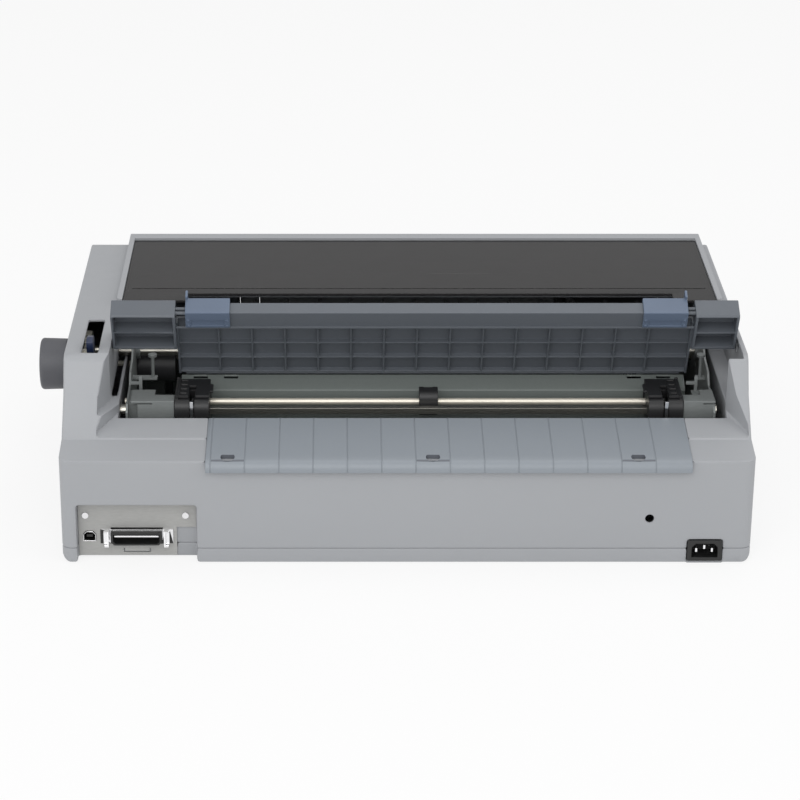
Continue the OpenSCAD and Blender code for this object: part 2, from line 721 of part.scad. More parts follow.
// steel side frame at x: bearing block, overhanging lug, raised step and its foot by [x0, x1],
// with a headed post and an upright tab between lug and guide
module side_frame(x, bearing, lug, step, foot, boss_x0, post_x, tab_x) {
    difference() {
        union() {
            along_x(x, x + frame_t) polygon(frame_side());
            block(bearing[0], bearing[1], 78, 108, 96, lug_z - 4.2);
            block(lug[0], lug[1], 87, step_y, lug_z - 2.4, lug_z);
            block(lug[0], lug[1], 87, 97, 110, lug_z);
            block(step[0], step[1], 99, step_y, 92, lug_z);
            block(foot[0], foot[1], 99, step_y, 92, lug_z - 3.4);
            rod_x(boss_x0, boss_x0 + 6, platen_c, journal_r + 3);
            // post on a bent tab
            block(min(x, post_x - 4), max(x + frame_t, post_x + 4), 46, 54, 117, 119);
            rod_z(post_x, 50, 118, 140, 1.6);
            rod_z(post_x, 50, 139, 141.5, 4);
            block(tab_x - 1.5, tab_x + 1.5, 79, 81.5, 110, 132);
            block(tab_x - 1.5, tab_x + 9, 79, 81.5, 124, 127);
        }
        rod_x(bearing[0] - 1, bearing[1] + 4, platen_c, journal_r + run);
        rod_x(bearing[0] - 1, bearing[1] + 4, drive_c, journal_r + run);
        rod_x(min(bearing[0], lug[0]) - 1, bearing[1] + 4, support_c, support_r);
        rod_x(bearing[0] - 1, bearing[1] + 4, rail_c, rail_r);
        rod_x(bearing[0] - 1, bearing[1] + 4, pinion_c, 3);
        // room for the shaft through step and foot
        rod_x(step[0] - 1, step[1] + 1, drive_c, journal_r + 1);
        rod_x(foot[0] - 1, foot[1], drive_c, journal_r + run);
    }
}

module side_frame_right() {
    f = frame_right;
    color([0.72, 0.73, 0.74]) side_frame(f, [f - 18, f + frame_t], [f - 23.5, f - 2.5], [f - 41.5, f - 22],
        [f - 23, f - 8.4], f - 4, f - 18.7, f - 9.5);
}
module side_frame_left() {
    f = frame_left;
    color([0.72, 0.73, 0.74]) side_frame(f, [f, f + 18], [f, f + 12], [f + 11, f + 28.5],
        [f, f + 11], f, f + 6.2, f + 14);
}

module gear_bracket() {
    x1 = bracket_x + bracket_t;
    color([0.72, 0.73, 0.74]) {
        difference() {
            along_x(bracket_x, x1) polygon([[-30, 96], [16, 96], [50, 85], [84, 87], [124, 100], [126, 128],
                [60, bracket_top - 8], [14, bracket_top], [-30, bracket_top - 18]]);
            rod_x(bracket_x - 1, x1 + 1, knob_c, journal_r + 0.5);
            rod_x(bracket_x - 1, x1 + 1, platen_c, journal_r + run);
            rod_x(bracket_x - 1, x1 + 1, drive_c, journal_r + run);
        }
        rod_x(gear_x - 1, bracket_x, idler_c, stud_r);
        rod_x(gear_x - 1, bracket_x, link_c, stud_r);
        rod_x(lever_x - 0.5, bracket_x, lever_c, stud_r);
    }
}

platen_x0 = -255;
platen_x1 = platen_x0 + platen_w;

module platen() {
    color([0.14, 0.14, 0.15]) rod_x(platen_x0, platen_x1, platen_c, platen_r);
    color([0.8, 0.8, 0.8]) {
        rod_x(frame_left - 3, platen_x0 + 1, platen_c, journal_r);
        rod_x(platen_x1 - 1, bracket_x + bracket_t, platen_c, journal_r);
    }
}
module platen_gear() {
    color([0.85, 0.84, 0.8]) gear(platen_n, platen_c, platen_phase, journal_r);
}
module platen_knob() {
    color([0.33, 0.33, 0.35]) {
        translate([half_w + 2, knob_c[0], knob_c[1]]) rotate([0, 90, 0]) rotate_extrude($fn = 72)
            polygon(concat([[0, 0], [knob_r - 3.5, 0], [knob_r - 0.6, 2]],
                arc([knob_r - 3, knob_w - 3], 3, 0, 90, 5), [[knob_r - 7, knob_w - 1.2], [0, knob_w - 1.2]]));
        rod_x(gear_x - 1, half_w + 3, knob_c, journal_r);
    }
}
module knob_gear() {
    color([0.85, 0.84, 0.8]) gear(knob_n, knob_c, knob_phase, journal_r);
}
module idler_gear() {
    color([0.85, 0.84, 0.8]) gear(idler_n, idler_c, idler_phase, stud_r + run);
}
module tractor_link_gear() {
    color([0.85, 0.84, 0.8]) gear(link_n, link_c, link_phase, stud_r + run);
}
module feed_motor() {
    color([0.25, 0.25, 0.27]) {
        rod_x(frame_right - 36, frame_right - 1, pinion_c, 17);
        block(frame_right - 2, frame_right, pinion_c[0] - 21, pinion_c[0] + 16, pinion_c[1] - 22,
            pinion_c[1] + 11.5);
    }
}
module feed_pinion() {
    color([0.85, 0.84, 0.8]) gear(pinion_n, pinion_c, pinion_phase, 2.5);
    color([0.8, 0.8, 0.8]) rod_x(frame_right + 0.2, gear_x + gear_w, pinion_c, 2.5);
}
module drive_shaft() {
    s = drive_side / 2;
    color([0.78, 0.78, 0.76]) {
        along_x(frame_left + 18.4, frame_right - 18.4) polygon([for (p = [[-s, -s], [s, -s], [s, s], [-s, s]])
            drive_c + p]);
        rod_x(frame_left - 3, frame_left + 18.4, drive_c, journal_r);
        rod_x(frame_right - 18.4, bracket_x + bracket_t, drive_c, journal_r);
        gear(tractor_n, drive_c, tractor_phase, journal_r - 1);
    }
}
module support_shaft() {
    color([0.78, 0.76, 0.71]) rod_x(frame_left - 3, frame_right + frame_t + 3, support_c, support_r);
}

// ---- tractors ----

function tractor_outline() = concat([[66, 100], [72, 95], [110, 95], [117, 101], [117, 114]],
    arc([109, tractor_top - 8], 8, 0, 90, 5), arc([72, tractor_top - 6], 6, 90, 180, 4));

module tractor_frame(x) {
    x0 = x - tractor_w / 2;
    x1 = x + tractor_w / 2;
    color([0.07, 0.07, 0.08]) difference() {
        along_x(x0, x1) polygon(tractor_outline());
        // slot of the sprocket, open at the top
        rod_x(x - sprocket_w / 2 - gap, x + sprocket_w / 2 + gap, drive_c, 12.4);
        block(x - 2.4, x + 2.4, 89, 111, 107, tractor_top + 1);
        rod_x(x0 - 1, x1 + 1, drive_c, sprocket_hub_r + run);
        rod_x(x0 - 1, x1 + 1, support_c, support_r + run);
        // pockets that lighten the sides
        for (s = [[x0 - 1, x0 + 5], [x1 - 5, x1 + 1]]) block(s[0], s[1], 69, 79, 98.5, 118);
        // notch of the lock lever
        block(x - 2.3, x + 2.3, 110.9, 118, 98, tractor_top + 1);
    }
    color([0.07, 0.07, 0.08]) rod_x(x - 3, x + 3, lock_c, lock_pin_r);
}

// ears that hold the flap's hinge, on the tractor's outer edge
module flap_ears(x, side) {
    xo = x + side * (tractor_w / 2 - 1.5);
    color([0.07, 0.07, 0.08]) for (y = [flap_y0 - 2.6, flap_y1 + 0.4]) difference() {
        block(xo - 1.5, xo + 1.5, y, y + 2.2, 113, flap_hinge_z + 1.8);
        rod_y(xo, y - 1, y + 4, flap_hinge_z, flap_wire_r + run);
    }
}

module tractor_flap(x, side) {
    // the flap lies on the frame, hinged along its outer edge
    xo = x + side * (tractor_w / 2 - 1.5);
    xi = x - side * (tractor_w / 2);
    z = tractor_top + gap;
    color([0.09, 0.09, 0.1]) difference() {
        union() {
            block(min(xo, xi), max(xo, xi), flap_y0, flap_y1, z, z + flap_lift);
            rod_y(xo, flap_y0, flap_y1, flap_hinge_z, 1.5);
            rod_y(xo, flap_y0 - 2, flap_y1 + 2, flap_hinge_z, flap_wire_r);
            // pull tab
            block(min(xi, xi - side * 3), max(xi, xi - side * 3), 82, 98, z, z + flap_lift);
        }
        block(x - 3, x + 3, 86, flap_y1 + 1, z - 1, z + flap_lift + 1);
        for (i = [0:3]) block(min(x + side * 5, x + side * 11), max(x + side * 5, x + side * 11),
            72 + 10 * i, 77 + 10 * i, z + 1.4, z + 4);
    }
}

module tractor_lever(x) {
    // chrome lock lever on a cross pin in the frame's rear notch
    color([0.8, 0.8, 0.82]) difference() {
        along_x(x - 1.6, x + 1.6) polygon([[112, 101], [116, 101], [119.4, 112], [120.6, 123], [118.2, 123.5],
            [117.4, 114], [112.2, 106]]);
        rod_x(x - 3, x + 3, lock_c, lock_pin_r + run);
    }
}

module sprocket(x) {
    s = drive_side / 2 + 0.25;
    color([0.15, 0.15, 0.16]) difference() {
        union() {
            rod_x(x - sprocket_w / 2, x + sprocket_w / 2, drive_c, sprocket_r);
            rod_x(x - tractor_w / 2, x + tractor_w / 2, drive_c, sprocket_hub_r);
            for (k = [0:pin_n - 1]) translate([x, drive_c[0], drive_c[1]])
                rotate([360 * (k + 0.5) / pin_n, 0, 0]) rotate_extrude($fn = 20)
                    polygon([[0, 0], [1.8, 0], [1.8, sprocket_r + 2.2], [1, sprocket_r + 3.4],
                        [0, sprocket_r + 3.4]]);
        }
        translate([x - tractor_w, drive_c[0] - s, drive_c[1] - s]) cube([2 * tractor_w, 2 * s, 2 * s]);
    }
}

module tractor_right() {
    tractor_frame(tractor_right_x);
    flap_ears(tractor_right_x, 1);
}
module tractor_right_flap() { tractor_flap(tractor_right_x, 1); }
module tractor_right_lever() { tractor_lever(tractor_right_x); }
module sprocket_right() { sprocket(tractor_right_x); }
module tractor_left() {
    tractor_frame(tractor_left_x);
    flap_ears(tractor_left_x, -1);
}
module tractor_left_flap() { tractor_flap(tractor_left_x, -1); }
module tractor_left_lever() { tractor_lever(tractor_left_x); }
module sprocket_left() { sprocket(tractor_left_x); }

module paper_support() {
    // wheel-less support that slides on the round shaft
    x = path_x + 1;
    color([0.08, 0.08, 0.09]) difference() {
        along_x(x - 8.5, x + 8.5) polygon(concat([[74, 98], [91, 98], [94, 102]],
            arc([87, 114], 7, 0, 90, 4), arc([80, 115], 6, 90, 180, 4)));
        rod_x(x - 10, x + 10, support_c, support_r + run);
        block(x - 4, x + 4, 70, 80, 97, 122);
    }
}

// ---- paper path ----

// folded sheet behind the raised guide's lower edge, with feed slots
module lower_paper_guide() {
    color([0.47, 0.5, 0.48]) difference() {
        along_x(block_left + 2, block_right - 2) polygon([[46.8, 119.9], [62.6, 112.9], [64.4, 111.2],
            [64.4, 60], [62.8, 60], [62.8, 110.6], [46.2, 118.4]]);
        for (x = [path_x + 210, path_x + 182, path_x - 189.5, path_x - 216.5])
            block(x - 6.5, x + 6.5, 47.6, 51.2, 110, 122);
    }
    color([0.47, 0.5, 0.48]) for (x = [block_left + 2, block_right - 4])
        block(x, x + 2, 46.2, 64.4, chassis_z + frame_t, 96);
}

module exit_ribs() {
    // ribbed lip between the cover and the raised guide
    color([0.1, 0.1, 0.11]) union() {
        block(exit_x0, exit_x1, -42, 4, 149, 151);
        block(exit_x0, exit_x1, 2, 4, 146, 154);
        for (i = [0:14]) {
            x = path_x + rib_shift + (i - 7) * groove_pitch;
            along_x(x - 1.4, x + 1.4) polygon([[-42, 150.5], [4, 150.5], [4, 156], [-4, 158], [-36, 162],
                [-42, 160]]);
        }
        for (x = [exit_x0, exit_x1 - 3]) block(x, x + 3, -42, -30, 128, 151);
        block(exit_x1 - 3, frame_right, -42, -30, 128, 131);
        block(frame_left + frame_t, exit_x0 + 3, -42, -30, 128, 131);
    }
}

// places a shape drawn upright about the guide's pivot at the guide's lean
module at_guide() {
    translate([0, pivot_c[0], pivot_c[1]]) rotate([-guide_lean, 0, 0]) children();
}

guide_top = guide_len - pivot_up;

module paper_guide() {
    z0 = -pivot_up;
    z1 = guide_top;
    rail_x0 = block_left + rail_end;
    rail_x1 = block_right - rail_end;
    color([0.36, 0.38, 0.41]) at_guide() {
        // sheet that the paper lies on
        block(block_left, block_right, 0, 2.4, z0 + 7, z1 - rail_h + 1);
        // top rail, hollow below
        difference() {
            block(rail_x0, rail_x1, 0, rail_d, z1 - rail_h, z1);
            block(rail_x0 + 2, rail_x1 - 2, 2.2, rail_d - 2.2, z1 - rail_h - 1, z1 - 2.2);
        }
        block(block_left, block_right, rail_d - 0.1, rail_d + 1.4, z1 - rail_h - 1, z1 - rail_h + 1.4);
        // two rods run on from the rail to each end block
        for (y = [5, rail_d - 2.6], x = [[block_left - 0.1, rail_x0 + 1], [rail_x1 - 1, block_right + 0.1]])
            rod_x(x[0], x[1], [y, z1 - 3], 1.7);
        // ribs across and up, and a flange at each end
        for (z = [z0 + 8, z0 + 28, z0 + 48]) block(block_left, block_right, 2, guide_rib_d, z, z + 1.6);
        for (i = [0:guide_rib_n - 1]) {
            x = guide_rib_x + (i - (guide_rib_n - 1) / 2) * groove_pitch;
            along_x(x - 0.8, x + 0.8) polygon([[2, z0 + 8], [guide_rib_d, z0 + 10],
                [guide_rib_d, z1 - rail_h], [2, z1 - rail_h]]);
        }
        for (x = [block_left, block_right - 1.8])
            block(x, x + 1.8, 0, guide_rib_d + 1, z0 + 7.5, z1 - rail_h + 1);
        // curved lower lip
        along_x(block_left + 6, block_right - 6) polygon(concat(arc([4, z0 + 8], 4, 180, 270, 5),
            [[5.5, z0 + 4], [4, z0 + 5.8]], arc([4, z0 + 8], 2, 250, 180, 4)));
        guide_block(block_right, guide_right);
        guide_block(guide_left, block_left);
        rod_x(guide_right - 1, guide_right + 6, [0, 0], pivot_r);
        rod_x(guide_left - 4, guide_left + 1, [0, 0], pivot_r);
    }
}

// hollow end block with one shelf, open to the rear below its top
module guide_block(x0, x1) {
    z1 = guide_top;
    difference() {
        along_x(x0 - 0.1, x1 + (x1 < 0 ? 0.1 : 0)) polygon([[-6, z1 - 46], [-3, z1 - 57], [5, z1 - 57],
            [block_d, z1 - 44.5], [block_d, z1 - 1.5], [block_d - 1.5, z1], [-3, z1], [-6, z1 - 4]]);
        for (c = [[z1 - 22, z1 - 1.8], [z1 - 42, z1 - 24]])
            block(x0 + 2.4, x1 - 2.4, 3, block_d + 1, c[0], c[1]);
    }
}

module edge_guide(x) {
    y0 = rail_d + gap;
    z0 = guide_top - rail_h + 2.2;
    z1 = guide_top + 3;
    x0 = x - edge_w / 2;
    x1 = x + edge_w / 2;
    color([0.39, 0.45, 0.57]) at_guide() {
        // saddle over the rail
        block(x0, x1, -3.2, y0 + 2.4, guide_top + gap, z1);
        block(x0, x1, -3.2, -0.8, guide_top - 14, z1);
        // rear plate with a sunk panel and four pegs
        difference() {
            block(x0, x1, y0, y0 + 2.4, z0, z1);
            block(x0 + 5, x1 - 5, y0 + 1.3, y0 + 3, z0 + 2.4, z0 + 9.6);
        }
        for (px = [x0 + 2.6, x1 - 2.6], pz = [z0 + 3, z0 + 10]) rod_y(px, y0 + 2, y0 + 3.3, pz, 1.2);
        // fence along the paper's edge
        block(x1 - 2.2, x1, -9, -0.8, guide_top - 40, guide_top + 7);
    }
}
module edge_guide_right() { edge_guide(block_right - edge_in_right); }
module edge_guide_left() { mirror([1, 0, 0]) edge_guide(-block_left - edge_in_left); }

module release_lever() {
    color([0.16, 0.2, 0.32]) difference() {
        along_x(lever_x, lever_x + lever_t) polygon(concat([[lever_c[0] + 6, lever_c[1] - 3]],
            [[96, 158], [101, 166], [103, 174], [97, 177], [88, 175], [86, 166], [84, 158]],
            [[lever_c[0] - 6, lever_c[1] + 3]], arc(lever_c, 6.7, 153, 333, 6)));
        rod_x(lever_x - 1, lever_x + lever_t + 1, lever_c, stud_r + run);
    }
}

// ---- carriage ----

module carriage_shaft() {
    color([0.82, 0.82, 0.84]) rod_x(frame_left - 2, frame_right + frame_t + 2, rail_c, rail_r);
}
module print_carriage() {
    x = carriage_home;
    color([0.13, 0.13, 0.14]) difference() {
        union() {
            block(x - 28, x + 28, -70, -34, 95, 113);
            block(x - 20, x + 20, -91, -69, 113.2, 116);
            block(x - 20, x + 20, -91, -87, 104, 116);
            block(x - 20, x + 20, -72, -69, 108, 116);
            // clamp round the belt
            block(x - 12, x + 12, belt_y + pulley_r - 4, -87, 96, 107);
        }
        rod_x(x - 30, x + 30, rail_c, rail_r + run);
        block(x - 13, x + 13, belt_y + pulley_r - 0.6, belt_y + pulley_r + 1.8, 95, 105.6);
    }
}
module print_head() {
    x = carriage_home;
    color([0.3, 0.31, 0.32]) {
        difference() {
            block(x - 18, x + 18, -66, -32, 113, 138);
            for (i = [0:5]) block(x - 19, x + 19, -63 + 5 * i, -60.8 + 5 * i, 120, 139);
        }
        along_x(x - 8, x + 8) polygon([[-32.1, 113], [-22, 119], [-17, 124], [-17, 128], [-24, 131],
            [-32.1, 134]]);
    }
}
module ribbon_cartridge() {
    x = carriage_home;
    color([0.08, 0.08, 0.09]) {
        difference() {
            block(x - 42, x + 42, -96, -44, 138.4, 152);
            block(x - 20, x + 20, -70, -43, 138, 147);
        }
        for (s = [-1, 1]) block(x + s * 38 - 4, x + s * 38 + 4, -45, ribbon_y + 0.3, 126, 148);
        for (s = [-1, 1]) block(x + s * 22 - 2, x + s * 22 + 2, -66, -50, 113, 139);
        block(x - 35, x + 35, ribbon_y, ribbon_y + 0.3, 127, 139);
    }
    color([0.5, 0.5, 0.52]) rod_z(x + 30, -62, 151, 156, 6);
}
module carriage_motor() {
    color([0.25, 0.25, 0.27]) {
        rod_z(pulley_left, belt_y, 55, 92, 20);
        block(pulley_left - 26, pulley_left + 24, belt_y - 22, belt_y + 20.5, 92, 94);
        for (sx = [-22, 20], sy = [-18, 18])
            rod_z(pulley_left + sx, belt_y + sy, chassis_z + frame_t, 92, 2.4);
    }
}
module belt_idler() {
    color([0.6, 0.6, 0.62]) difference() {
        rod_z(pulley_right, belt_y, 96, 106, pulley_r);
        rod_z(pulley_right, belt_y, 95, 107, 2.5 + run);
    }
}
module motor_pulley() {
    color([0.6, 0.6, 0.62]) {
        rod_z(pulley_left, belt_y, 96, 106, pulley_r);
        rod_z(pulley_left, belt_y, 94.3, 97, 2.5);
    }
}
module drive_belt() {
    r0 = pulley_r + 0.1;
    r1 = pulley_r + 1.2;
    color([0.07, 0.07, 0.07]) translate([0, 0, belt_z]) linear_extrude(6) difference() {
        union() {
            for (x = [pulley_left, pulley_right]) translate([x, belt_y]) circle(r = r1);
            translate([pulley_left, belt_y - r1]) square([pulley_right - pulley_left, 2 * r1]);
        }
        for (x = [pulley_left, pulley_right]) translate([x, belt_y]) circle(r = r0);
        translate([pulley_left, belt_y - r0]) square([pulley_right - pulley_left, 2 * r0]);
    }
}

// ---- electronics ----

module main_board() {
    color([0.15, 0.35, 0.2]) block(-20, 195, -60, 110, 24, 25.6);
    color([0.1, 0.1, 0.1]) for (p = [[10, -20], [10, 40], [70, -20], [70, 40], [125, 60]])
        block(p[0], p[0] + 34, p[1], p[1] + 22, 25.6, 29.6);
    color([0.2, 0.3, 0.6]) for (i = [0:3]) rod_z(175, -40 + 22 * i, 25.6, 42, 7);
    color([0.8, 0.8, 0.8]) for (x = [-14, 189], y = [-54, 104]) rod_z(x, y, chassis_z + frame_t, 24, 3);
}
module power_supply() {
    color([0.55, 0.45, 0.3]) block(-252, -142, 10, 60, 24, 26);
    color([0.3, 0.3, 0.32]) block(-250, -202, 16, 54, 26, 72);
    color([0.75, 0.6, 0.25]) block(-244, -208, 12, 58, 34, 64);
    color([0.2, 0.2, 0.2]) for (i = [0:2]) rod_z(-186 + 16 * i, 34, 26, 56, 6.5);
    color([0.8, 0.8, 0.8]) for (x = [-247, -148], y = [14, 56]) rod_z(x, y, chassis_z + frame_t, 24, 3);
}
// outline of the square data socket, its top corners cut off, grown by t
module usb_outline(t) {
    polygon([[usb_x - 5 - t, usb_z - 4.2 - t], [usb_x + 5 + t, usb_z - 4.2 - t], [usb_x + 5 + t, usb_z + 1.6],
        [usb_x + 2.6 + t / 2, usb_z + 4 + t], [usb_x - 2.6 - t / 2, usb_z + 4 + t],
        [usb_x - 5 - t, usb_z + 1.6]]);
}

module interface_plate() {
    y = rear_y - port_d;
    color([0.66, 0.66, 0.64]) difference() {
        union() {
            block(port_left + 0.4, port_right - 0.4, y, y + 1.5, case_bottom + 1.8, port_h - 0.4);
            // board behind the plate, under the sockets
            block(port_left + 20, port_right - 8, y - 40, y, 9.6, 11.2);
        }
        block(socket_x - socket_w / 2 - 0.5, socket_x + socket_w / 2 + 0.5, y - 1, y + 3, socket_z - 8,
            socket_z + 8);
        along_y(y - 1, y + 3) usb_outline(0.8);
        // stepped corner beside the screws
        block(port_left - 1, port_left + plate_step, y - 1, y + 3, 0, 30);
        // three cuts free a lug under the parallel socket
        for (x = [socket_x - 11.5, socket_x + 11.5]) block(x - 0.5, x + 0.5, y - 1, y + 3, 5.4, 9.2);
        block(socket_x - 11.5, socket_x + 11.5, y - 1, y + 3, 5.4, 6.4);
    }
    // screws that hold the plate
    color([0.7, 0.7, 0.7]) for (x = [196, 285]) rod_y(x, y + 1, y + 3.5, 42, 3);
    // square data socket
    color([0.75, 0.75, 0.76]) difference() {
        along_y(y - 14, y + 2.6) usb_outline(0.6);
        along_y(y - 10, y + 3) usb_outline(0);
    }
    color([0.1, 0.1, 0.1]) block(usb_x - 2.8, usb_x + 2.8, y - 11, y + 1, usb_z - 1.4, usb_z + 1.2);
    color([0.75, 0.75, 0.76]) block(usb_x - 4, usb_x + 4, y - 13, y - 8, 11.1, usb_z - 4.6);
}
// outline of the wide socket's body, its lower corners cut by c
function socket_outline(w, h, c) = [[socket_x - w + c, socket_z - h], [socket_x + w - c, socket_z - h],
    [socket_x + w, socket_z - h + c], [socket_x + w, socket_z + h], [socket_x - w, socket_z + h],
    [socket_x - w, socket_z - h + c]];

module parallel_socket() {
    y = rear_y - port_d + 1.5;
    color([0.75, 0.75, 0.76]) difference() {
        block(socket_x - flange_w / 2, socket_x + flange_w / 2, y, y + 1.5, socket_z - 7, socket_z + 7);
        along_y(y - 1, y + 3) polygon(socket_outline(socket_w / 2, 6, 3));
    }
    color([0.08, 0.08, 0.08]) difference() {
        along_y(y - 14, y + 8) polygon(socket_outline(socket_w / 2, 6, 3));
        along_y(y - 4, y + 9) polygon(socket_outline(socket_w / 2 - 2.2, 4.4, 2));
    }
    color([0.8, 0.8, 0.8]) block(socket_x - socket_w / 2 + 3, socket_x + socket_w / 2 - 3, y - 4.5, y + 6,
        socket_z + 1.2, socket_z + 2.8);
    color([0.08, 0.08, 0.08]) block(socket_x - 18, socket_x + 18, y - 13, y - 8, 11.2, socket_z - 5.9);
    // ears that hold the clips' wire ends
    color([0.75, 0.75, 0.76]) for (s = [-1, 1]) difference() {
        block(socket_x + s * 27.5 - 1.8, socket_x + s * 27.5 + 1.8, y + 1.4, y + 5.4, socket_z - 5.8,
            socket_z + 5.8);
        rod_z(socket_x + s * 27.5, y + 3.8, socket_z - 7, socket_z + 7, clip_r + run);
    }
}
module bail_clip(s) {
    y = rear_y - port_d + 1.5;
    x = socket_x + s * 27.5;
    color([0.8, 0.8, 0.82]) {
        rod_z(x, y + 3.8, socket_z - 6.6, socket_z + 6.6, clip_r);
        for (z = [-6.9, 6.9]) block(min(x + s, x - s * 3), max(x + s, x - s * 3), y + 3, y + 8.4,
            socket_z + z - 0.8, socket_z + z + 0.8);
        block(min(x - s * 3, x - s * 1.4), max(x - s * 3, x - s * 1.4), y + 7, y + 8.6, socket_z - 7,
            socket_z + 7);
    }
}
module bail_clip_right() { bail_clip(1); }
module bail_clip_left() { bail_clip(-1); }
module ac_inlet() {
    y = rear_y;
    x0 = inlet_x - inlet_w / 2;
    x1 = inlet_x + inlet_w / 2;
    z0 = inlet_z - inlet_h / 2;
    z1 = inlet_z + inlet_h / 2;
    color([0.06, 0.06, 0.07]) difference() {
        union() {
            block(x0, x1, y - 9.5, y + 1.4, z0, z1);
            block(x0 + 1, x1 - 1, y - 22, y - 9, z0 + 3.2, z1 - 1);
        }
        along_y(y - 16, y + 2) polygon([[x0 + 4, z0 + 3.4], [x1 - 4, z0 + 3.4], [x1 - 4, z1 - 7],
            [x1 - 7.5, z1 - 3.4], [x0 + 7.5, z1 - 3.4], [x0 + 4, z1 - 7]]);
    }
    color([0.8, 0.8, 0.8]) for (p = [[-7, -1.4], [0, 1.6], [7, -1.4]])
        block(inlet_x + p[0] - 1, inlet_x + p[0] + 1, y - 17, y - 2.5, inlet_z + p[1] - 2,
            inlet_z + p[1] + 2);
}

lower_case();
rubber_feet();
upper_case();
rear_deck();
front_flap();
control_panel();
panel_lamps();
button_pause();
button_tear_off();
button_feed();
button_font();
button_pitch_select();
power_switch();
power_rocker();
printer_cover();
cover_window();
chassis();
side_frame_right();
side_frame_left();
gear_bracket();
platen();
platen_gear();
platen_knob();
knob_gear();
idler_gear();
tractor_link_gear();
feed_motor();
feed_pinion();
drive_shaft();
support_shaft();
tractor_right();
tractor_right_flap();
tractor_right_lever();
sprocket_right();
tractor_left();
tractor_left_flap();
tractor_left_lever();
sprocket_left();
paper_support();
lower_paper_guide();
exit_ribs();
paper_guide();
edge_guide_right();
edge_guide_left();
release_lever();
carriage_shaft();
print_carriage();
print_head();
ribbon_cartridge();
carriage_motor();
motor_pulley();
belt_idler();
drive_belt();
main_board();
power_supply();
interface_plate();
parallel_socket();
bail_clip_right();
bail_clip_left();
ac_inlet();
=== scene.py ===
"""Wide-carriage dot matrix printer seen from the rear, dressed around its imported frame.

Lengths are millimetres in the size fields and metres in the meshes. X runs to the operator's
right (the knob side), Y to the rear and Z up from the table.
"""

import json
import logging
import math
from dataclasses import dataclass
from enum import Enum
from typing import Callable, Iterable, Sequence

import bmesh
import bpy
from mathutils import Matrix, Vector
from mathutils.geometry import delaunay_2d_cdt

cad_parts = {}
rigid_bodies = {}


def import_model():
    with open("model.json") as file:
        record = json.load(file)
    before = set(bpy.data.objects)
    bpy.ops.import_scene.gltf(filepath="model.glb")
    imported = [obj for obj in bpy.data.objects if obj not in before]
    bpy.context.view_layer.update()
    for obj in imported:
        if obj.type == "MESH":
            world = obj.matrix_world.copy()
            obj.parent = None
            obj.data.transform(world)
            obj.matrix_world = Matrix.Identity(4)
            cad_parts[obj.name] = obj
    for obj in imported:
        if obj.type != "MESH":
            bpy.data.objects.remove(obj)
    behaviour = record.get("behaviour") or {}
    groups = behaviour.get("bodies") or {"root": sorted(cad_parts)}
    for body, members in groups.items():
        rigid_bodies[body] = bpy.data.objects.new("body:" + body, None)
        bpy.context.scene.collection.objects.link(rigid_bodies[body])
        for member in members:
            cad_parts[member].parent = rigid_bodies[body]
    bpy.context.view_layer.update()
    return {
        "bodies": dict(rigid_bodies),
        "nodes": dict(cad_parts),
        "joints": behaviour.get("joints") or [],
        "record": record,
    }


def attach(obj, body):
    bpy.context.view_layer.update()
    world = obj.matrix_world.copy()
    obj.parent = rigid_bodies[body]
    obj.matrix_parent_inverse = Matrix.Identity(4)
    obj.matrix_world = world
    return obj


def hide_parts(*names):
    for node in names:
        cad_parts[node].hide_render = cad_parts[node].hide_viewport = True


LOG = logging.getLogger("printer")

MM = 0.001
TO_MM = 1000
WELD = 0.000002  # points closer than this, in metres, are one
SAME_WIDTH = 0.0000001  # roundings that differ by less, in metres, are alike
SHARE_PASSES = 40  # how far a narrow rounding spreads along a line
STRAIGHT_ON = -0.9  # cosine under which a line runs on past a corner
LEVEL = 0.12  # faces that meet under this angle, in degrees, are one flat face
SHADE = 38.0  # faces that meet under this angle, in degrees, shade as one

Point3 = tuple[float, float, float]
Colour = tuple[float, float, float]


# ---- finishes ----

class Surface(Enum):
    """How a finish is worked on its surface."""

    MOULDED = "moulded plastic with a spark-eroded grain"
    SMOOTH = "smooth moulded plastic"
    RUBBER = "dull rubber"
    GROUND = "steel ground along X"
    SHEET = "rolled sheet metal"
    PAINTED = "painted metal"
    GLAZED = "smoked clear plastic"


DRIFT_CELLS = 9.0  # cells per metre of the slow drift in colour
SCUFF_CELLS = 60.0  # cells per metre of the scuffs in the gloss
HAZE_CELLS = 35.0  # cells per metre of the haze in the window
SMEAR_CELLS = 240.0  # cells per metre of the smears on the window
WINDOW_COVER = 0.86  # how much of what lies behind it the window hides
GROUND_DRAW = 0.04  # the grain's scale along ground steel
ROLLED_DRAW = 0.25  # the grain's scale along rolled sheet


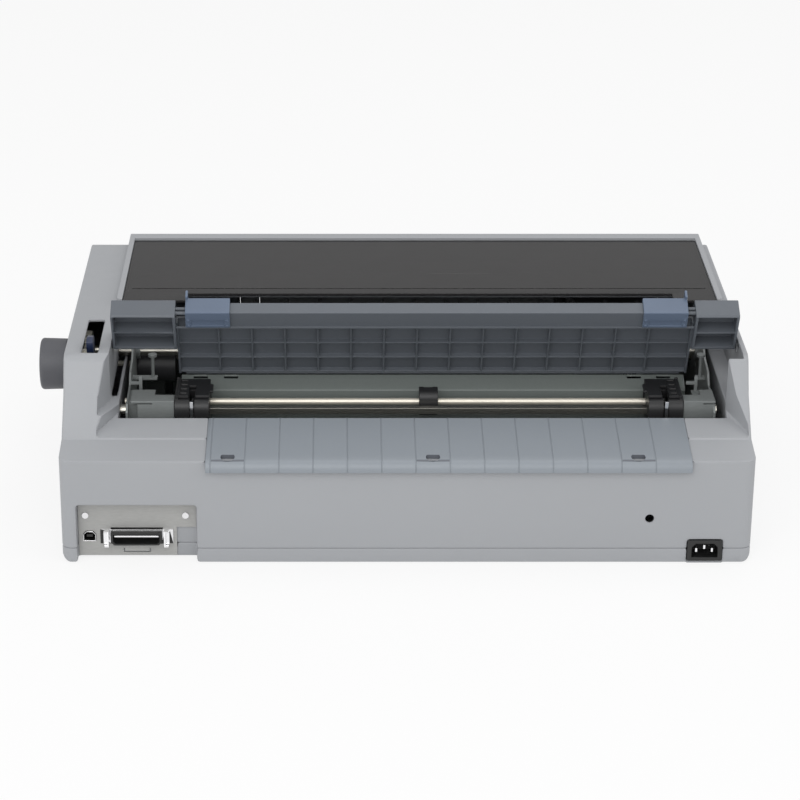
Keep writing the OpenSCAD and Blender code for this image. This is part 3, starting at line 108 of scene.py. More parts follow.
@dataclass(frozen=True)
class Finish:
    """A procedural finish.

    Attributes:
        name: material name.
        slot: material slot of the record; not used by the script.
        colour: base colour, linear.
        surface: how the surface is worked.
        roughness: mean roughness.
        mottle: share by which the colour drifts over the part.
        grain: grains per metre.
        depth: bump height of the grain, in metres.
        wear: how much paler the edges are rubbed.
        metallic: 1 for bare metal.
    """

    name: str
    slot: str
    colour: Colour
    surface: Surface = Surface.MOULDED
    roughness: float = 0.5
    mottle: float = 0.05
    grain: float = 1400.0
    depth: float = 0.00003
    wear: float = 0.08
    metallic: float = 0.0

    def build(self) -> bpy.types.Material:
        """Makes the material.

        Returns:
            The node material.
        """
        mat = bpy.data.materials.new(self.name)
        mat.use_nodes = True
        tree = mat.node_tree
        shader = tree.nodes["Principled BSDF"]
        place = tree.nodes.new("ShaderNodeTexCoord").outputs["Object"]
        shader.inputs["Metallic"].default_value = self.metallic
        if self.surface is Surface.GLAZED:
            self._glaze(tree, shader, place)
            mat.diffuse_color = (*self.colour, 0.6)
            return mat
        stretch = self._stretch(tree, place)
        broad = self._noise(tree, place, DRIFT_CELLS, 4.0)
        fine = self._noise(tree, stretch, self.grain, 2.0)
        scuff = self._noise(tree, stretch, SCUFF_CELLS, 6.0)
        low = tuple(c * (1 - self.mottle) for c in self.colour)
        high = tuple(min(1.0, c * (1 + self.mottle)) for c in self.colour)
        tone = self._mix(tree, broad, low, high)
        speck = self._ramp(tree, fine, 0.35, 0.75)
        tone = self._tint(tree, speck, tone, 1 - self.mottle, 1 + self.mottle)
        if self.wear:
            edge = tree.nodes.new("ShaderNodeNewGeometry").outputs["Pointiness"]
            rub = self._ramp(tree, edge, 0.515, 0.60)
            tone = self._tint(tree, rub, tone, 1.0, 1 + self.wear * 3)
        tree.links.new(tone, shader.inputs["Base Color"])
        rough = tree.nodes.new("ShaderNodeMapRange")
        rough.inputs["To Min"].default_value = max(0.03, self.roughness - 0.07)
        rough.inputs["To Max"].default_value = min(1.0, self.roughness + 0.09)
        tree.links.new(scuff, rough.inputs["Value"])
        tree.links.new(rough.outputs["Result"], shader.inputs["Roughness"])
        bump = tree.nodes.new("ShaderNodeBump")
        bump.inputs["Distance"].default_value = self.depth
        bump.inputs["Strength"].default_value = 0.6
        tree.links.new(fine, bump.inputs["Height"])
        tree.links.new(bump.outputs["Normal"], shader.inputs["Normal"])
        mat.diffuse_color = (*self.colour, 1.0)
        return mat

    def _stretch(self, tree: bpy.types.NodeTree, place: bpy.types.NodeSocket) -> bpy.types.NodeSocket:
        """Draws the grain out along X on ground and rolled metal.

        Args:
            tree: the material's nodes.
            place: object coordinates.

        Returns:
            The coordinates for the grain.
        """
        if self.surface not in (Surface.GROUND, Surface.SHEET):
            return place
        node = tree.nodes.new("ShaderNodeMapping")
        drawn = GROUND_DRAW if self.surface is Surface.GROUND else ROLLED_DRAW
        node.inputs["Scale"].default_value = (drawn, 1.0, 1.0)
        tree.links.new(place, node.inputs["Vector"])
        return node.outputs["Vector"]

    def _glaze(self, tree: bpy.types.NodeTree, shader: bpy.types.Node, place: bpy.types.NodeSocket) -> None:
        """Makes the smoked clear plastic: mostly dark, a little see-through, glossy.

        Args:
            tree: the material's nodes.
            shader: the principled shader.
            place: object coordinates.
        """
        haze = self._noise(tree, place, HAZE_CELLS, 5.0)
        low = tuple(c * 0.85 for c in self.colour)
        high = tuple(c * 1.2 for c in self.colour)
        tree.links.new(self._mix(tree, haze, low, high), shader.inputs["Base Color"])
        shader.inputs["Alpha"].default_value = WINDOW_COVER
        shader.inputs["IOR"].default_value = 1.49
        shader.inputs["Specular IOR Level"].default_value = 0.2
        rough = tree.nodes.new("ShaderNodeMapRange")
        rough.inputs["To Min"].default_value = self.roughness
        rough.inputs["To Max"].default_value = self.roughness + 0.12
        tree.links.new(self._noise(tree, place, SMEAR_CELLS, 3.0), rough.inputs["Value"])
        tree.links.new(rough.outputs["Result"], shader.inputs["Roughness"])
        bump = tree.nodes.new("ShaderNodeBump")
        bump.inputs["Distance"].default_value = self.depth
        bump.inputs["Strength"].default_value = 0.3
        tree.links.new(haze, bump.inputs["Height"])
        tree.links.new(bump.outputs["Normal"], shader.inputs["Normal"])

    @staticmethod
    def _noise(tree: bpy.types.NodeTree, place: bpy.types.NodeSocket, scale: float,
               detail: float) -> bpy.types.NodeSocket:
        """Adds a noise texture.

        Args:
            tree: the material's nodes.
            place: coordinates.
            scale: cells per metre.
            detail: octaves.

        Returns:
            Its grey output.
        """
        node = tree.nodes.new("ShaderNodeTexNoise")
        node.inputs["Scale"].default_value = scale
        node.inputs["Detail"].default_value = detail
        tree.links.new(place, node.inputs["Vector"])
        return node.outputs["Fac"]

    @staticmethod
    def _ramp(tree: bpy.types.NodeTree, value: bpy.types.NodeSocket, low: float,
              high: float) -> bpy.types.NodeSocket:
        """Spreads a narrow band of a value over 0 to 1.

        Args:
            tree: the material's nodes.
            value: what is spread.
            low: becomes 0.
            high: becomes 1.

        Returns:
            The spread value.
        """
        node = tree.nodes.new("ShaderNodeMapRange")
        node.inputs["From Min"].default_value = low
        node.inputs["From Max"].default_value = high
        tree.links.new(value, node.inputs["Value"])
        return node.outputs["Result"]

    @staticmethod
    def _mix(tree: bpy.types.NodeTree, factor: bpy.types.NodeSocket, low: Colour,
             high: Colour) -> bpy.types.NodeSocket:
        """Blends two colours by a factor.

        Args:
            tree: the material's nodes.
            factor: 0 to 1.
            low: colour at 0.
            high: colour at 1.

        Returns:
            The blended colour.
        """
        node = tree.nodes.new("ShaderNodeMix")
        node.data_type = "RGBA"
        node.inputs[6].default_value = (*low, 1.0)
        node.inputs[7].default_value = (*high, 1.0)
        tree.links.new(factor, node.inputs[0])
        return node.outputs[2]

    @staticmethod
    def _tint(tree: bpy.types.NodeTree, factor: bpy.types.NodeSocket, tone: bpy.types.NodeSocket,
              low: float, high: float) -> bpy.types.NodeSocket:
        """Lightens and darkens a tone by a factor.

        Args:
            tree: the material's nodes.
            factor: 0 to 1.
            tone: colour that is worked on.
            low: brightness at 0.
            high: brightness at 1.

        Returns:
            The tinted colour.
        """
        level = tree.nodes.new("ShaderNodeMapRange")
        level.inputs["To Min"].default_value = low
        level.inputs["To Max"].default_value = high
        tree.links.new(factor, level.inputs["Value"])
        node = tree.nodes.new("ShaderNodeVectorMath")
        node.operation = "SCALE"
        tree.links.new(tone, node.inputs[0])
        tree.links.new(level.outputs["Result"], node.inputs["Scale"])
        return node.outputs["Vector"]


CASE_GREY = Finish("case grey", "case_grey", (0.335, 0.345, 0.362), roughness=0.46, mottle=0.018, wear=0.0)
# The deck panel's grey is the case plastic darkened: painted shade for the lower light on the top-facing
# deck.
DECK_GREY_PAINTED_SHADE = Finish("deck grey painted shade", "deck_grey", (0.236, 0.260, 0.288), Surface.SMOOTH, 0.38, 0.02, 2000.0,
                   0.00001, wear=0.0)
FOOT_BLACK = Finish("foot rubber", "rubber_black", (0.02, 0.02, 0.02), Surface.RUBBER, 0.85)
# Dark grey of the control panel; on the deck's finger notches it is painted shade in the recess.
PANEL_GREY_AND_NOTCH_SHADE = Finish("panel grey and notch shade", "panel_grey", (0.12, 0.13, 0.15), roughness=0.5)
KEY_GREY = Finish("key grey", "button_grey", (0.42, 0.43, 0.45), roughness=0.45)
LAMP_GREEN = Finish("lamp lens", "lamp_lens", (0.10, 0.42, 0.14), Surface.SMOOTH, 0.2)
SWITCH_BLACK = Finish("switch black", "switch_black", (0.015, 0.015, 0.016), Surface.SMOOTH, 0.3)
SMOKED = Finish("smoked window", "smoked_window", (0.024, 0.023, 0.0235), Surface.GLAZED, 0.10, depth=0.00001)
SHEET_STEEL = Finish("galvanised sheet", "galvanised_steel", (0.60, 0.61, 0.60), Surface.SHEET, 0.42, 0.06,
                     500.0, metallic=1.0)
FRAME_STEEL = Finish("passivated frame", "galvanised_steel", (0.200, 0.214, 0.212), Surface.SHEET, 0.5, 0.05,
                     500.0, metallic=0.3)
PLATEN_BLACK = Finish("platen rubber", "platen_rubber", (0.022, 0.022, 0.024), Surface.RUBBER, 0.6)
KNOB_GREY = Finish("knob grey", "knob_grey", (0.084, 0.086, 0.096), roughness=0.5)
NYLON = Finish("gear nylon", "gear_nylon", (0.66, 0.64, 0.57), Surface.SMOOTH, 0.4)
MOTOR_BLACK = Finish("motor black", "motor_black", (0.03, 0.03, 0.033), Surface.PAINTED, 0.45)
SHAFT_CREAM = Finish("shaft cream", "shaft_steel", (0.70, 0.66, 0.57), Surface.GROUND, 0.34, 0.05, 3000.0,
                     0.00001, metallic=0.55)
SHAFT_STEEL = Finish("ground steel", "shaft_steel", (0.62, 0.60, 0.54), Surface.GROUND, 0.28, 0.05, 3000.0,
                     0.00001, metallic=1.0)
TRACTOR_BLACK = Finish("tractor black", "tractor_black", (0.013, 0.013, 0.014), roughness=0.42)
CHROME = Finish("bright plate", "chrome", (0.80, 0.80, 0.81), Surface.PAINTED, 0.14, 0.03, 800.0, 0.000005,
                metallic=1.0)
GUIDE_GREY = Finish("guide grey", "guide_grey", (0.095, 0.106, 0.122), roughness=0.47, mottle=0.03)
PATH_GREY = Finish("path grey", "path_grey", (0.150, 0.168, 0.160), Surface.SMOOTH, 0.42)
EDGE_BLUE = Finish("edge guide blue", "edge_blue", (0.098, 0.130, 0.188), Surface.SMOOTH, 0.36, 0.03)
LEVER_NAVY = Finish("lever navy", "lever_navy", (0.014, 0.022, 0.055), Surface.SMOOTH, 0.34)
BELT_BLACK = Finish("belt rubber", "belt_rubber", (0.015, 0.015, 0.015), Surface.RUBBER, 0.8)
BOARD_GREEN = Finish("board green", "board_green", (0.02, 0.09, 0.035), Surface.SMOOTH, 0.35)
WINDING = Finish("winding copper", "winding", (0.28, 0.15, 0.05), Surface.GROUND, 0.4, 0.1, 1600.0)
PLATE_METAL = Finish("interface plate", "plate_metal", (0.385, 0.385, 0.375), Surface.SHEET, 0.5, 0.04, 700.0,
                     metallic=0.35)
# Near-black plastic of the sockets, the inlet and the chips; in the data socket's opening it is painted
# shade.
SOCKET_BLACK_AND_OPENING_SHADE = Finish("socket black and opening shade", "socket_black", (0.012, 0.012, 0.012), Surface.SMOOTH, 0.34)


# ---- the workshop ----

Patch = tuple[Finish, Callable[[Vector], bool]]


class Workshop:
    """Makes pieces and puts them on the frame's bodies."""

    def __init__(self, frame: dict) -> None:
        """Keeps the frame at hand.
        """
        self.nodes: dict[str, bpy.types.Object] = frame["nodes"]
        groups = frame["record"]["behaviour"]["bodies"]
        self.body_of: dict[str, str] = {node: body for body, nodes in groups.items() for node in nodes}
        self.made: dict[str, bpy.types.Material] = {}

    def material(self, finish: Finish) -> bpy.types.Material:
        """Gives a finish's material, made once.

        Args:
            finish: the finish.

        Returns:
            Its material.
        """
        if finish.name not in self.made:
            self.made[finish.name] = finish.build()
        return self.made[finish.name]

    def dress(self, node: str, finish: Finish) -> None:
        """Gives a frame node a finish and leaves its shape.

        Args:
            node: the node's name.
            finish: what it gets.
        """
        for slot in self.nodes[node].material_slots:
            slot.material = self.material(finish)

    def piece(self, name: str, mesh: bpy.types.Mesh, finish: Finish, body: str,
              replaces: Sequence[str] = ()) -> bpy.types.Object:
        """Puts a mesh on a body as a piece.

        Args:
            name: the piece's name.
            mesh: its mesh, in the row frame.
            finish: its first finish.
            body: the body that it rides on.
            replaces: nodes that it stands for.

        Returns:
            The piece.
        """
        obj = bpy.data.objects.new(name, mesh)
        bpy.context.scene.collection.objects.link(obj)
        if not mesh.materials:
            mesh.materials.append(self.material(finish))
        mesh.shade_smooth()
        mesh.set_sharp_from_angle(angle=math.radians(SHADE))
        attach(obj, body)
        if replaces:
            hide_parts(*replaces)
        LOG.info("piece %s on %s", name, body)
        return obj

    def softened(self, node: str, finish: Finish, edge: float,
                 patches: Iterable[Patch] = ()) -> bpy.types.Object:
        """Makes a piece from a node's faces, with its sharp edges rounded.

        Args:
            node: the node that it stands for.
            finish: its main finish.
            edge: widest rounding, in millimetres, or 0 for crisp edges.
            patches: other finishes, each with a test on a face's middle, in millimetres.

        Returns:
            The piece.
        """
        work = bmesh.new()
        work.from_mesh(self.nodes[node].data)
        bmesh.ops.remove_doubles(work, verts=work.verts, dist=WELD)
        bmesh.ops.dissolve_limit(work, angle_limit=math.radians(LEVEL), verts=work.verts, edges=work.edges)
        bmesh.ops.recalc_face_normals(work, faces=work.faces)
        mesh = self._plain(work, node)
        piece = self.piece(node + "_skin", mesh, finish, self.body_of[node], [node])
        self.patch(piece, patches)
        if edge:
            self.round_edges(piece, edge)
        return piece

    @staticmethod
    def _plain(work: bmesh.types.BMesh, name: str) -> bpy.types.Mesh:
        """Turns a bmesh into a clean mesh with no layers left from the import.

        Args:
            work: the bmesh, freed here.
            name: the mesh's name.

        Returns:
            The mesh.
        """
        work.verts.index_update()
        points = [v.co.copy() for v in work.verts]
        faces = [[v.index for v in f.verts] for f in work.faces]
        work.free()
        mesh = bpy.data.meshes.new(name)
        mesh.from_pydata(points, [], faces)
        mesh.update()
        return mesh

    def patch(self, piece: bpy.types.Object, patches: Iterable[Patch]) -> None:
        """Gives parts of a piece other finishes.

        Args:
            piece: the piece.
            patches: finishes, each with a test on a face's middle, in millimetres.
        """
        mesh = piece.data
        for finish, inside in patches:
            mesh.materials.append(self.material(finish))
            for face in mesh.polygons:
                if inside(face.center * TO_MM):
                    face.material_index = len(mesh.materials) - 1

    @staticmethod
    def round_edges(piece: bpy.types.Object, edge: float, sharp: float = 30.0, least: float = 0.04) -> None:
        """Rounds a piece's sharp edges, each as wide as its neighbours allow.

        Args:
            piece: the piece.
            edge: widest rounding, in millimetres.
            sharp: edges over this angle are rounded, in degrees.
            least: narrowest rounding that is made, in millimetres.
        """
        mesh = piece.data
        work = bmesh.new()
        work.from_mesh(mesh)
        width = edge * MM
        bend = math.radians(sharp)
        corners = {e for e in work.edges if len(e.link_faces) == 2 and e.calc_face_angle() > bend}
        rooms = {e: min(Workshop._room(e, v) for v in e.verts) for e in corners}
        # lines that run on from one another share the narrower rounding
        links = [[e for e in v.link_edges if e in corners] for v in work.verts]
        pairs = [pair for pair in links if len(pair) == 2]
        for _ in range(SHARE_PASSES):
            changed = False
            for first, second in pairs:
                narrow = min(rooms[first], rooms[second])
                if abs(rooms[first] - rooms[second]) > SAME_WIDTH and narrow < width:
                    rooms[first] = rooms[second] = narrow
                    changed = True
            if not changed:
                break
        weights = [min(1.0, rooms[e] / width) if e in corners and rooms[e] > least * MM else 0.0
                   for e in work.edges]
        work.free()
        layer = mesh.attributes.new("bevel_weight_edge", "FLOAT", "EDGE")
        layer.data.foreach_set("value", weights)
        bevel = piece.modifiers.new("rounding", "BEVEL")
        bevel.limit_method = "WEIGHT"
        bevel.width = width
        bevel.segments = 2
        bevel.use_clamp_overlap = False
        bevel.miter_outer = "MITER_ARC"
        Workshop._tile(piece)
        even = piece.modifiers.new("even shading", "WEIGHTED_NORMAL")
        even.keep_sharp = True

    @staticmethod
    def _tile(piece: bpy.types.Object, apart: float = 0.0001) -> None:
        """Applies a piece's rounding and splits its many-sided faces into triangles.

        Args:
            piece: the piece.
            apart: corners closer than this, in millimetres, are one.
        """
        graph = bpy.context.evaluated_depsgraph_get()
        rounded = bpy.data.meshes.new_from_object(piece.evaluated_get(graph))
        piece.modifiers.clear()
        work = bmesh.new()
        work.from_mesh(rounded)
        wide = [face for face in work.faces if len(face.verts) > 4]
        for face in wide:
            corners = list(face.verts)
            start = corners[0].co.copy()
            across = face.normal.orthogonal().normalized()
            up = face.normal.cross(across)
            flat = [Vector(((v.co - start).dot(across), (v.co - start).dot(up))) * TO_MM for v in corners]
            spots, _, tiles, sources, _, _ = delaunay_2d_cdt(flat, [], [list(range(len(flat)))], 1, apart)
            points = [corners[source[0]] if source
                      else work.verts.new(start + (across * spot.x + up * spot.y) * MM)
                      for spot, source in zip(spots, sources)]
            for tile in tiles:
                verts = [points[i] for i in tile]
                if len(set(verts)) < 3 or work.faces.get(verts):
                    continue
                made = work.faces.new(verts)
                made.material_index = face.material_index
                made.smooth = True
        bmesh.ops.delete(work, geom=wide, context="FACES_ONLY")
        work.to_mesh(rounded)
        work.free()
        rounded.set_sharp_from_angle(angle=math.radians(SHADE))
        piece.data = rounded

    @staticmethod
    def _room(line: bmesh.types.BMEdge, end: bmesh.types.BMVert, share: float = 0.4) -> float:
        """Measures how wide a line's rounding may be at one end.

        Args:
            line: the line.
            end: one of its two ends.
            share: how much of a neighbouring face the rounding may take.

        Returns:
            The width, in metres.
        """
        way = (line.other_vert(end).co - end.co).normalized()
        room = line.calc_length() * 2
        for other in end.link_edges:
            along = other.other_vert(end).co - end.co
            if other is line or not along.length or along.normalized().dot(way) < STRAIGHT_ON:
                continue
            room = min(room, share * along.cross(way).length)
        return room


@dataclass
class Assembly:
    """A sub-assembly of the printer."""

    shop: Workshop

    def build(self) -> None:
        """Builds and dresses the sub-assembly."""
        raise NotImplementedError


# ---- sub-assemblies ----

@dataclass
class CaseShells(Assembly):
    """Lower and upper case, feet and the rear deck panel."""

    edge: float = 2.2
    deck_edge: float = 0.8
    foot_edge: float = 0.6
    notch_x: float = 22.5
    notch_pitch: float = 180.0
    notch_half: float = 6.3
    notch_front: float = 186.9
    notch_rear: float = 196.6
    notch_top: float = 101.2

    def build(self) -> None:
        """Builds the housing's skins."""
        self.shop.softened("upper_case", CASE_GREY, self.edge)
        self.shop.softened("lower_case", CASE_GREY, self.edge)
        # The rear deck's darker grey is painted shade for the light that the deck gets less of.
        self.shop.softened("rear_deck", DECK_GREY_PAINTED_SHADE, self.deck_edge, patches=[(PANEL_GREY_AND_NOTCH_SHADE, self._in_shaded_notch)])
        self.shop.softened("rubber_feet", FOOT_BLACK, self.foot_edge)

    def _in_shaded_notch(self, spot: Vector) -> bool:
        """Tells whether a face of the deck lines one of its finger notches, which are painted dark grey as
        painted shade in the recess.

        Args:
            spot: the face's middle, in millimetres.

        Returns:
            True in a notch.
        """
        half = self.notch_pitch / 2
        aside = abs((spot.x + self.notch_x + half) % self.notch_pitch - half)
        deep = self.notch_front < spot.y < self.notch_rear and spot.z < self.notch_top
        return aside < self.notch_half and deep


@dataclass
class TopCover(Assembly):
    """Hinged cover with its smoked window."""

    frame_edge: float = 2.0
    window_edge: float = 0.8

    def build(self) -> None:
        """Builds the cover's frame and window."""
        self.shop.softened("printer_cover", CASE_GREY, self.frame_edge)
        self.shop.softened("cover_window", SMOKED, self.window_edge)


@dataclass
class RaisedGuide(Assembly):
    """Raised paper guide with its two edge guides."""

    rib_edge: float = 0.7
    slider_edge: float = 0.8

    def build(self) -> None:
        """Builds the ribbed guide and the sliders on its rail."""
        self.shop.softened("paper_guide", GUIDE_GREY, self.rib_edge)
        self.shop.softened("edge_guide_right", EDGE_BLUE, self.slider_edge)
        self.shop.softened("edge_guide_left", EDGE_BLUE, self.slider_edge)


@dataclass
class PaperPath(Assembly):
    """Ribbed lip, lower guide sheet and the shafts that the paper passes."""

    rib_edge: float = 0.5
    shaft_edge: float = 0.4

    def build(self) -> None:
        """Builds what lies in the open bay."""
        self.shop.softened("exit_ribs", TRACTOR_BLACK, self.rib_edge)
        self.shop.softened("lower_paper_guide", PATH_GREY, self.rib_edge)
        self.shop.softened("support_shaft", SHAFT_CREAM, self.shaft_edge)
        self.shop.softened("drive_shaft", SHAFT_STEEL, self.shaft_edge)
        self.shop.softened("paper_support", TRACTOR_BLACK, self.rib_edge)


@dataclass
class Tractors(Assembly):
    """The two push tractors."""

    edge: float = 0.6
    lever_edge: float = 0.4
    pin_edge: float = 0.3

    def build(self) -> None:
        """Builds both tractors with flap, lever and sprocket."""
        for side in ("right", "left"):
            self.shop.softened(f"tractor_{side}", TRACTOR_BLACK, self.edge)
            self.shop.softened(f"tractor_{side}_flap", TRACTOR_BLACK, self.edge)
            self.shop.softened(f"tractor_{side}_lever", CHROME, self.lever_edge)
            self.shop.softened(f"sprocket_{side}", TRACTOR_BLACK, self.pin_edge)


@dataclass
class FeedTrain(Assembly):
    """Platen, knob and gears."""

    platen_ends: tuple[float, float] = (-254.9, 200.9)
    platen_edge: float = 0.5
    knob_start: float = 307.9
    knob_edge: float = 0.6
    lever_edge: float = 1.0

    def build(self) -> None:
        """Builds the knob and dresses the gears."""
        low, high = self.platen_ends
        self.shop.softened("platen", PLATEN_BLACK, self.platen_edge, patches=[
            (SHAFT_STEEL, lambda p: p.x < low or p.x > high)])
        self.shop.softened("platen_knob", KNOB_GREY, self.knob_edge, patches=[
            (SHAFT_STEEL, lambda p: p.x < self.knob_start)])
        for node in ("platen_gear", "knob_gear", "idler_gear", "tractor_link_gear", "feed_pinion"):
            self.shop.dress(node, NYLON)
        self.shop.softened("release_lever", LEVER_NAVY, self.lever_edge)
        self.shop.dress("feed_motor", MOTOR_BLACK)


@dataclass
class SteelFrames(Assembly):
    """Chassis, side frames and gear bracket."""

    edge: float = 0.4

    def build(self) -> None:
        """Builds the sheet-metal skeleton."""
        for node in ("chassis", "side_frame_right", "side_frame_left", "gear_bracket"):
            self.shop.softened(node, FRAME_STEEL, self.edge)


@dataclass
class PrintMechanism(Assembly):
    """Carriage, head, ribbon and belt drive."""

    edge: float = 0.6
    head_edge: float = 0.4

    def build(self) -> None:
        """Builds the moving carriage and its drive."""
        self.shop.softened("print_carriage", TRACTOR_BLACK, self.edge)
        self.shop.softened("print_head", MOTOR_BLACK, self.head_edge)
        self.shop.softened("ribbon_cartridge", TRACTOR_BLACK, self.edge)
        self.shop.dress("carriage_shaft", SHAFT_STEEL)
        self.shop.dress("carriage_motor", MOTOR_BLACK)
        self.shop.dress("motor_pulley", SHAFT_STEEL)
        self.shop.dress("belt_idler", SHAFT_STEEL)
        self.shop.dress("drive_belt", BELT_BLACK)


@dataclass
class Electronics(Assembly):
    """Main board and power supply."""

    edge: float = 0.3
    board_top: float = 25.7
    board_low: float = 23.9
    chips_end: float = 166.0
    supply_top: float = 26.1
    winding_x: float = -205.0
    winding_z: tuple[float, float] = (34.0, 64.0)

    def build(self) -> None:
        """Dresses the boards and what stands on them."""
        top = self.board_top
        low, high = self.winding_z
        self.shop.softened("main_board", BOARD_GREEN, self.edge, patches=[
            (SOCKET_BLACK_AND_OPENING_SHADE, lambda p: p.z > top and p.x < self.chips_end),
            (EDGE_BLUE, lambda p: p.z > top and p.x >= self.chips_end),
            (SHEET_STEEL, lambda p: p.z < self.board_low)])
        self.shop.softened("power_supply", BOARD_GREEN, self.edge, patches=[
            (MOTOR_BLACK, lambda p: p.z > self.supply_top),
            (WINDING, lambda p: low <= p.z <= high and p.x < self.winding_x),
            (SHEET_STEEL, lambda p: p.z < self.board_low)])


@dataclass
class RearSockets(Assembly):
    """Interface plate, its sockets and the mains inlet."""

    rear: float = 195.0
    recess: float = 12.0
    plate_stand: float = 1.5
    clear: float = 0.01
    rim_under: float = 0.1
    clip_edge: float = 0.3
    socket_edge: float = 0.4
    inlet_edge: float = 0.5
    data_x: float = 281.7
    data_half: float = 5.1
    data_z: tuple[float, float] = (17.0, 25.7)
    data_depth: float = 0.8
    shell_x: float = 273.0
    shell_z: tuple[float, float] = (15.5, 27.2)
    shell_depth: float = 16.0
    screws_x: tuple[float, float] = (196.0, 285.0)
    screws_z: tuple[float, float] = (38.5, 45.5)
    screw_half: float = 3.4
    socket_x: float = 239.7
    socket_z: float = 21.5
    socket_half: float = 23.2
    rim_high: float = 6.05
    rim_depth: float = 1.6
    bar_z: float = 23.5
    bar_high: float = 0.9
    bar_half: float = 20.0
    inlet_x: float = -264.5
    pins_half: float = 8.2
    pins_z: tuple[float, float] = (8.0, 17.0)
    pins_depth: tuple[float, float] = (15.9, 2.3)

    def build(self) -> None:
        """Builds the connectors at the rear."""
        # The data socket's opening is painted black: painted shade inside it.
        self.shop.softened("interface_plate", PLATE_METAL, self.clip_edge, patches=[
            (CHROME, self._on_data_shell), (SOCKET_BLACK_AND_OPENING_SHADE, self._in_shaded_socket_opening), (CHROME, self._on_screws)])
        self.shop.softened("parallel_socket", SOCKET_BLACK_AND_OPENING_SHADE, self.socket_edge, patches=[
            (CHROME, self._on_flange), (CHROME, self._on_bar)])
        self.shop.softened("bail_clip_right", CHROME, self.clip_edge)
        self.shop.softened("bail_clip_left", CHROME, self.clip_edge)
        self.shop.softened("ac_inlet", SOCKET_BLACK_AND_OPENING_SHADE, self.inlet_edge, patches=[(CHROME, self._on_pins)])

    @property
    def plate_face(self) -> float:
        """Where the plate's rear face stands, in Y."""
        return self.rear - self.recess + self.plate_stand

    def _on_data_shell(self, spot: Vector) -> bool:
        """Tells whether a face belongs to the data socket's bright shell."""
        low, high = self.shell_z
        return spot.x > self.shell_x and low < spot.z < high and spot.y > self.plate_face - self.shell_depth

    def _in_shaded_socket_opening(self, spot: Vector) -> bool:
        """Tells whether a face lies in the dark of the data socket.

        Args:
            spot: the face's middle, in millimetres.

        Returns:
            True if it does.
        """
        low, high = self.data_z
        deep = spot.y < self.plate_face + self.data_depth
        return abs(spot.x - self.data_x) < self.data_half and low < spot.z < high and deep

    def _on_screws(self, spot: Vector) -> bool:
        """Tells whether a face belongs to one of the plate's two screws.

        Args:
            spot: the face's middle, in millimetres.

        Returns:
            True if it does.
        """
        low, high = self.screws_z
        aside = min(abs(spot.x - x) for x in self.screws_x)
        return low < spot.z < high and spot.y > self.plate_face + self.clear and aside < self.screw_half

    def _on_flange(self, spot: Vector) -> bool:
        """Tells whether a face belongs to the wide socket's bright flange.

        Args:
            spot: the face's middle, in millimetres.

        Returns:
            True if it does.
        """
        near = self.plate_face - self.rim_under < spot.y < self.plate_face + self.rim_depth
        rim = near and abs(spot.z - self.socket_z) > self.rim_high
        return abs(spot.x - self.socket_x) > self.socket_half or rim

    def _on_bar(self, spot: Vector) -> bool:
        """Tells whether a face belongs to the bright bar in the wide socket."""
        return abs(spot.z - self.bar_z) < self.bar_high and abs(spot.x - self.socket_x) < self.bar_half

    def _on_pins(self, spot: Vector) -> bool:
        """Tells whether a face belongs to the inlet's three pins.

        Args:
            spot: the face's middle, in millimetres.

        Returns:
            True if it does.
        """
        low, high = self.pins_z
        deep = self.rear - self.pins_depth[0] < spot.y < self.rear - self.pins_depth[1]
        return deep and abs(spot.x - self.inlet_x) < self.pins_half and low < spot.z < high


@dataclass
class FrontControls(Assembly):
    """Front flap, keys, lamps and the mains switch."""

    edge: float = 0.8
    flap_edge: float = 1.4
    lamp_edge: float = 0.3
    rocker_edge: float = 0.6
    panel_edge: float = 0.0

    def build(self) -> None:
        """Builds the front of the printer."""
        self.shop.softened("front_flap", CASE_GREY, self.flap_edge)
        self.shop.softened("control_panel", PANEL_GREY_AND_NOTCH_SHADE, self.panel_edge)
        self.shop.softened("panel_lamps", LAMP_GREEN, self.lamp_edge)
        for key in ("pause", "tear_off", "feed", "font", "pitch_select"):
            self.shop.softened(f"button_{key}", KEY_GREY, self.edge)
        self.shop.softened("power_switch", SWITCH_BLACK, self.edge)
        self.shop.softened("power_rocker", SWITCH_BLACK, self.rocker_edge)


# ---- studio ----

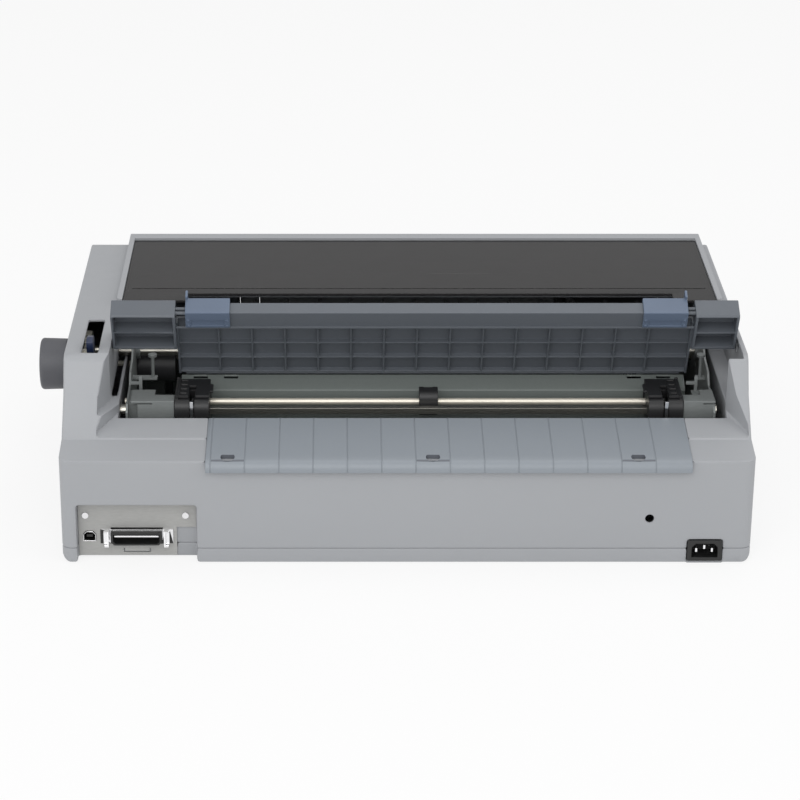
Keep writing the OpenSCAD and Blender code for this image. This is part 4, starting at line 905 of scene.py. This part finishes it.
@dataclass
class Studio:
    """Pale floor, soft lamps and the camera at the photograph's angle."""

    camera_place: Point3 = (0.059, 2.308, 1.054)
    tilt: float = 67.0
    lens: float = 119.25
    shift: float = 0.075
    ambient: float = 0.62
    floor_half: float = 8.0
    floor_tone: float = 0.80
    floor_glow: float = 0.82

    def build(self) -> None:
        """Sets the stage."""
        self._floor()
        self._world()
        self._lamp("rear softbox", (0.5, 2.6, 1.9), (0.0, 0.1, 0.1), 2.4, 42.0)
        self._lamp("top softbox", (-0.6, -0.4, 2.6), (0.0, 0.0, 0.1), 2.2, 16.0)
        self._lamp("side softbox", (2.4, 0.9, 1.4), (0.0, 0.1, 0.1), 1.6, 10.0)
        self._lamp("far side softbox", (-2.4, 1.2, 1.2), (0.0, 0.1, 0.1), 1.6, 10.0)
        self._camera()
        bpy.context.scene.view_settings.view_transform = "Standard"

    def _camera(self) -> None:
        """Places the camera."""
        data = bpy.data.cameras.new("camera")
        data.lens = self.lens
        data.sensor_width = 36.0
        data.shift_x = self.shift
        data.clip_end = 100.0
        camera = bpy.data.objects.new("camera", data)
        bpy.context.scene.collection.objects.link(camera)
        camera.location = self.camera_place
        camera.rotation_euler = (math.radians(self.tilt), 0.0, math.radians(180.0))
        bpy.context.scene.camera = camera

    @staticmethod
    def _lamp(name: str, place: Point3, aim: Point3, size: float, power: float) -> None:
        """Hangs a square softbox.

        Args:
            name: its name.
            place: where it hangs, in metres.
            aim: what it points at.
            size: its side, in metres.
            power: watts.
        """
        data = bpy.data.lights.new(name, "AREA")
        data.size = size
        data.energy = power
        lamp = bpy.data.objects.new(name, data)
        lamp.location = place
        lamp.rotation_euler = (Vector(aim) - Vector(place)).to_track_quat("-Z", "Y").to_euler()
        bpy.context.scene.collection.objects.link(lamp)

    def _world(self) -> None:
        """Fills the room with even light."""
        world = bpy.data.worlds.new("room")
        world.use_nodes = True
        back = world.node_tree.nodes["Background"]
        back.inputs["Color"].default_value = (1.0, 1.0, 1.0, 1.0)
        back.inputs["Strength"].default_value = self.ambient
        bpy.context.scene.world = world

    def _floor(self) -> None:
        """Lays the pale floor, nearly white to the camera, with the object's shadow left on it."""
        half = self.floor_half
        mesh = bpy.data.meshes.new("floor")
        spots = [(-half, -half, 0), (half, -half, 0), (half, half, 0), (-half, half, 0)]
        mesh.from_pydata(spots, [], [[0, 1, 2, 3]])
        floor = bpy.data.objects.new("floor", mesh)
        bpy.context.scene.collection.objects.link(floor)
        mat = bpy.data.materials.new("floor paper")
        mat.use_nodes = True
        tree = mat.node_tree
        tree.nodes.clear()
        out = tree.nodes.new("ShaderNodeOutputMaterial")
        paper = tree.nodes.new("ShaderNodeBsdfDiffuse")
        paper.inputs["Color"].default_value = (self.floor_tone, self.floor_tone, self.floor_tone, 1.0)
        glow = tree.nodes.new("ShaderNodeEmission")
        glow.inputs["Strength"].default_value = 1.0
        path = tree.nodes.new("ShaderNodeLightPath")
        seen = path.outputs["Is Camera Ray"]
        for ray in ("Is Glossy Ray", "Is Transmission Ray"):
            both = tree.nodes.new("ShaderNodeMath")
            both.operation = "MAXIMUM"
            tree.links.new(seen, both.inputs[0])
            tree.links.new(path.outputs[ray], both.inputs[1])
            seen = both.outputs["Value"]
        share = tree.nodes.new("ShaderNodeMath")
        share.operation = "MULTIPLY"
        share.inputs[1].default_value = self.floor_glow
        tree.links.new(seen, share.inputs[0])
        mix = tree.nodes.new("ShaderNodeMixShader")
        tree.links.new(share.outputs["Value"], mix.inputs["Fac"])
        tree.links.new(paper.outputs["BSDF"], mix.inputs[1])
        tree.links.new(glow.outputs["Emission"], mix.inputs[2])
        tree.links.new(mix.outputs["Shader"], out.inputs["Surface"])
        mesh.materials.append(mat)


def main() -> None:
    """Builds every sub-assembly and the studio."""
    logging.basicConfig(level=logging.INFO, format="%(name)s: %(message)s")
    for obj in list(bpy.data.objects):
        bpy.data.objects.remove(obj)
    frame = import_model()
    shop = Workshop(frame)
    for kind in (CaseShells, TopCover, RaisedGuide, PaperPath, Tractors, FeedTrain, SteelFrames,
                 PrintMechanism, Electronics, RearSockets, FrontControls):
        LOG.info("building %s", kind.__name__)
        kind(shop).build()
    Studio().build()


if __name__ == "__main__":
    main()
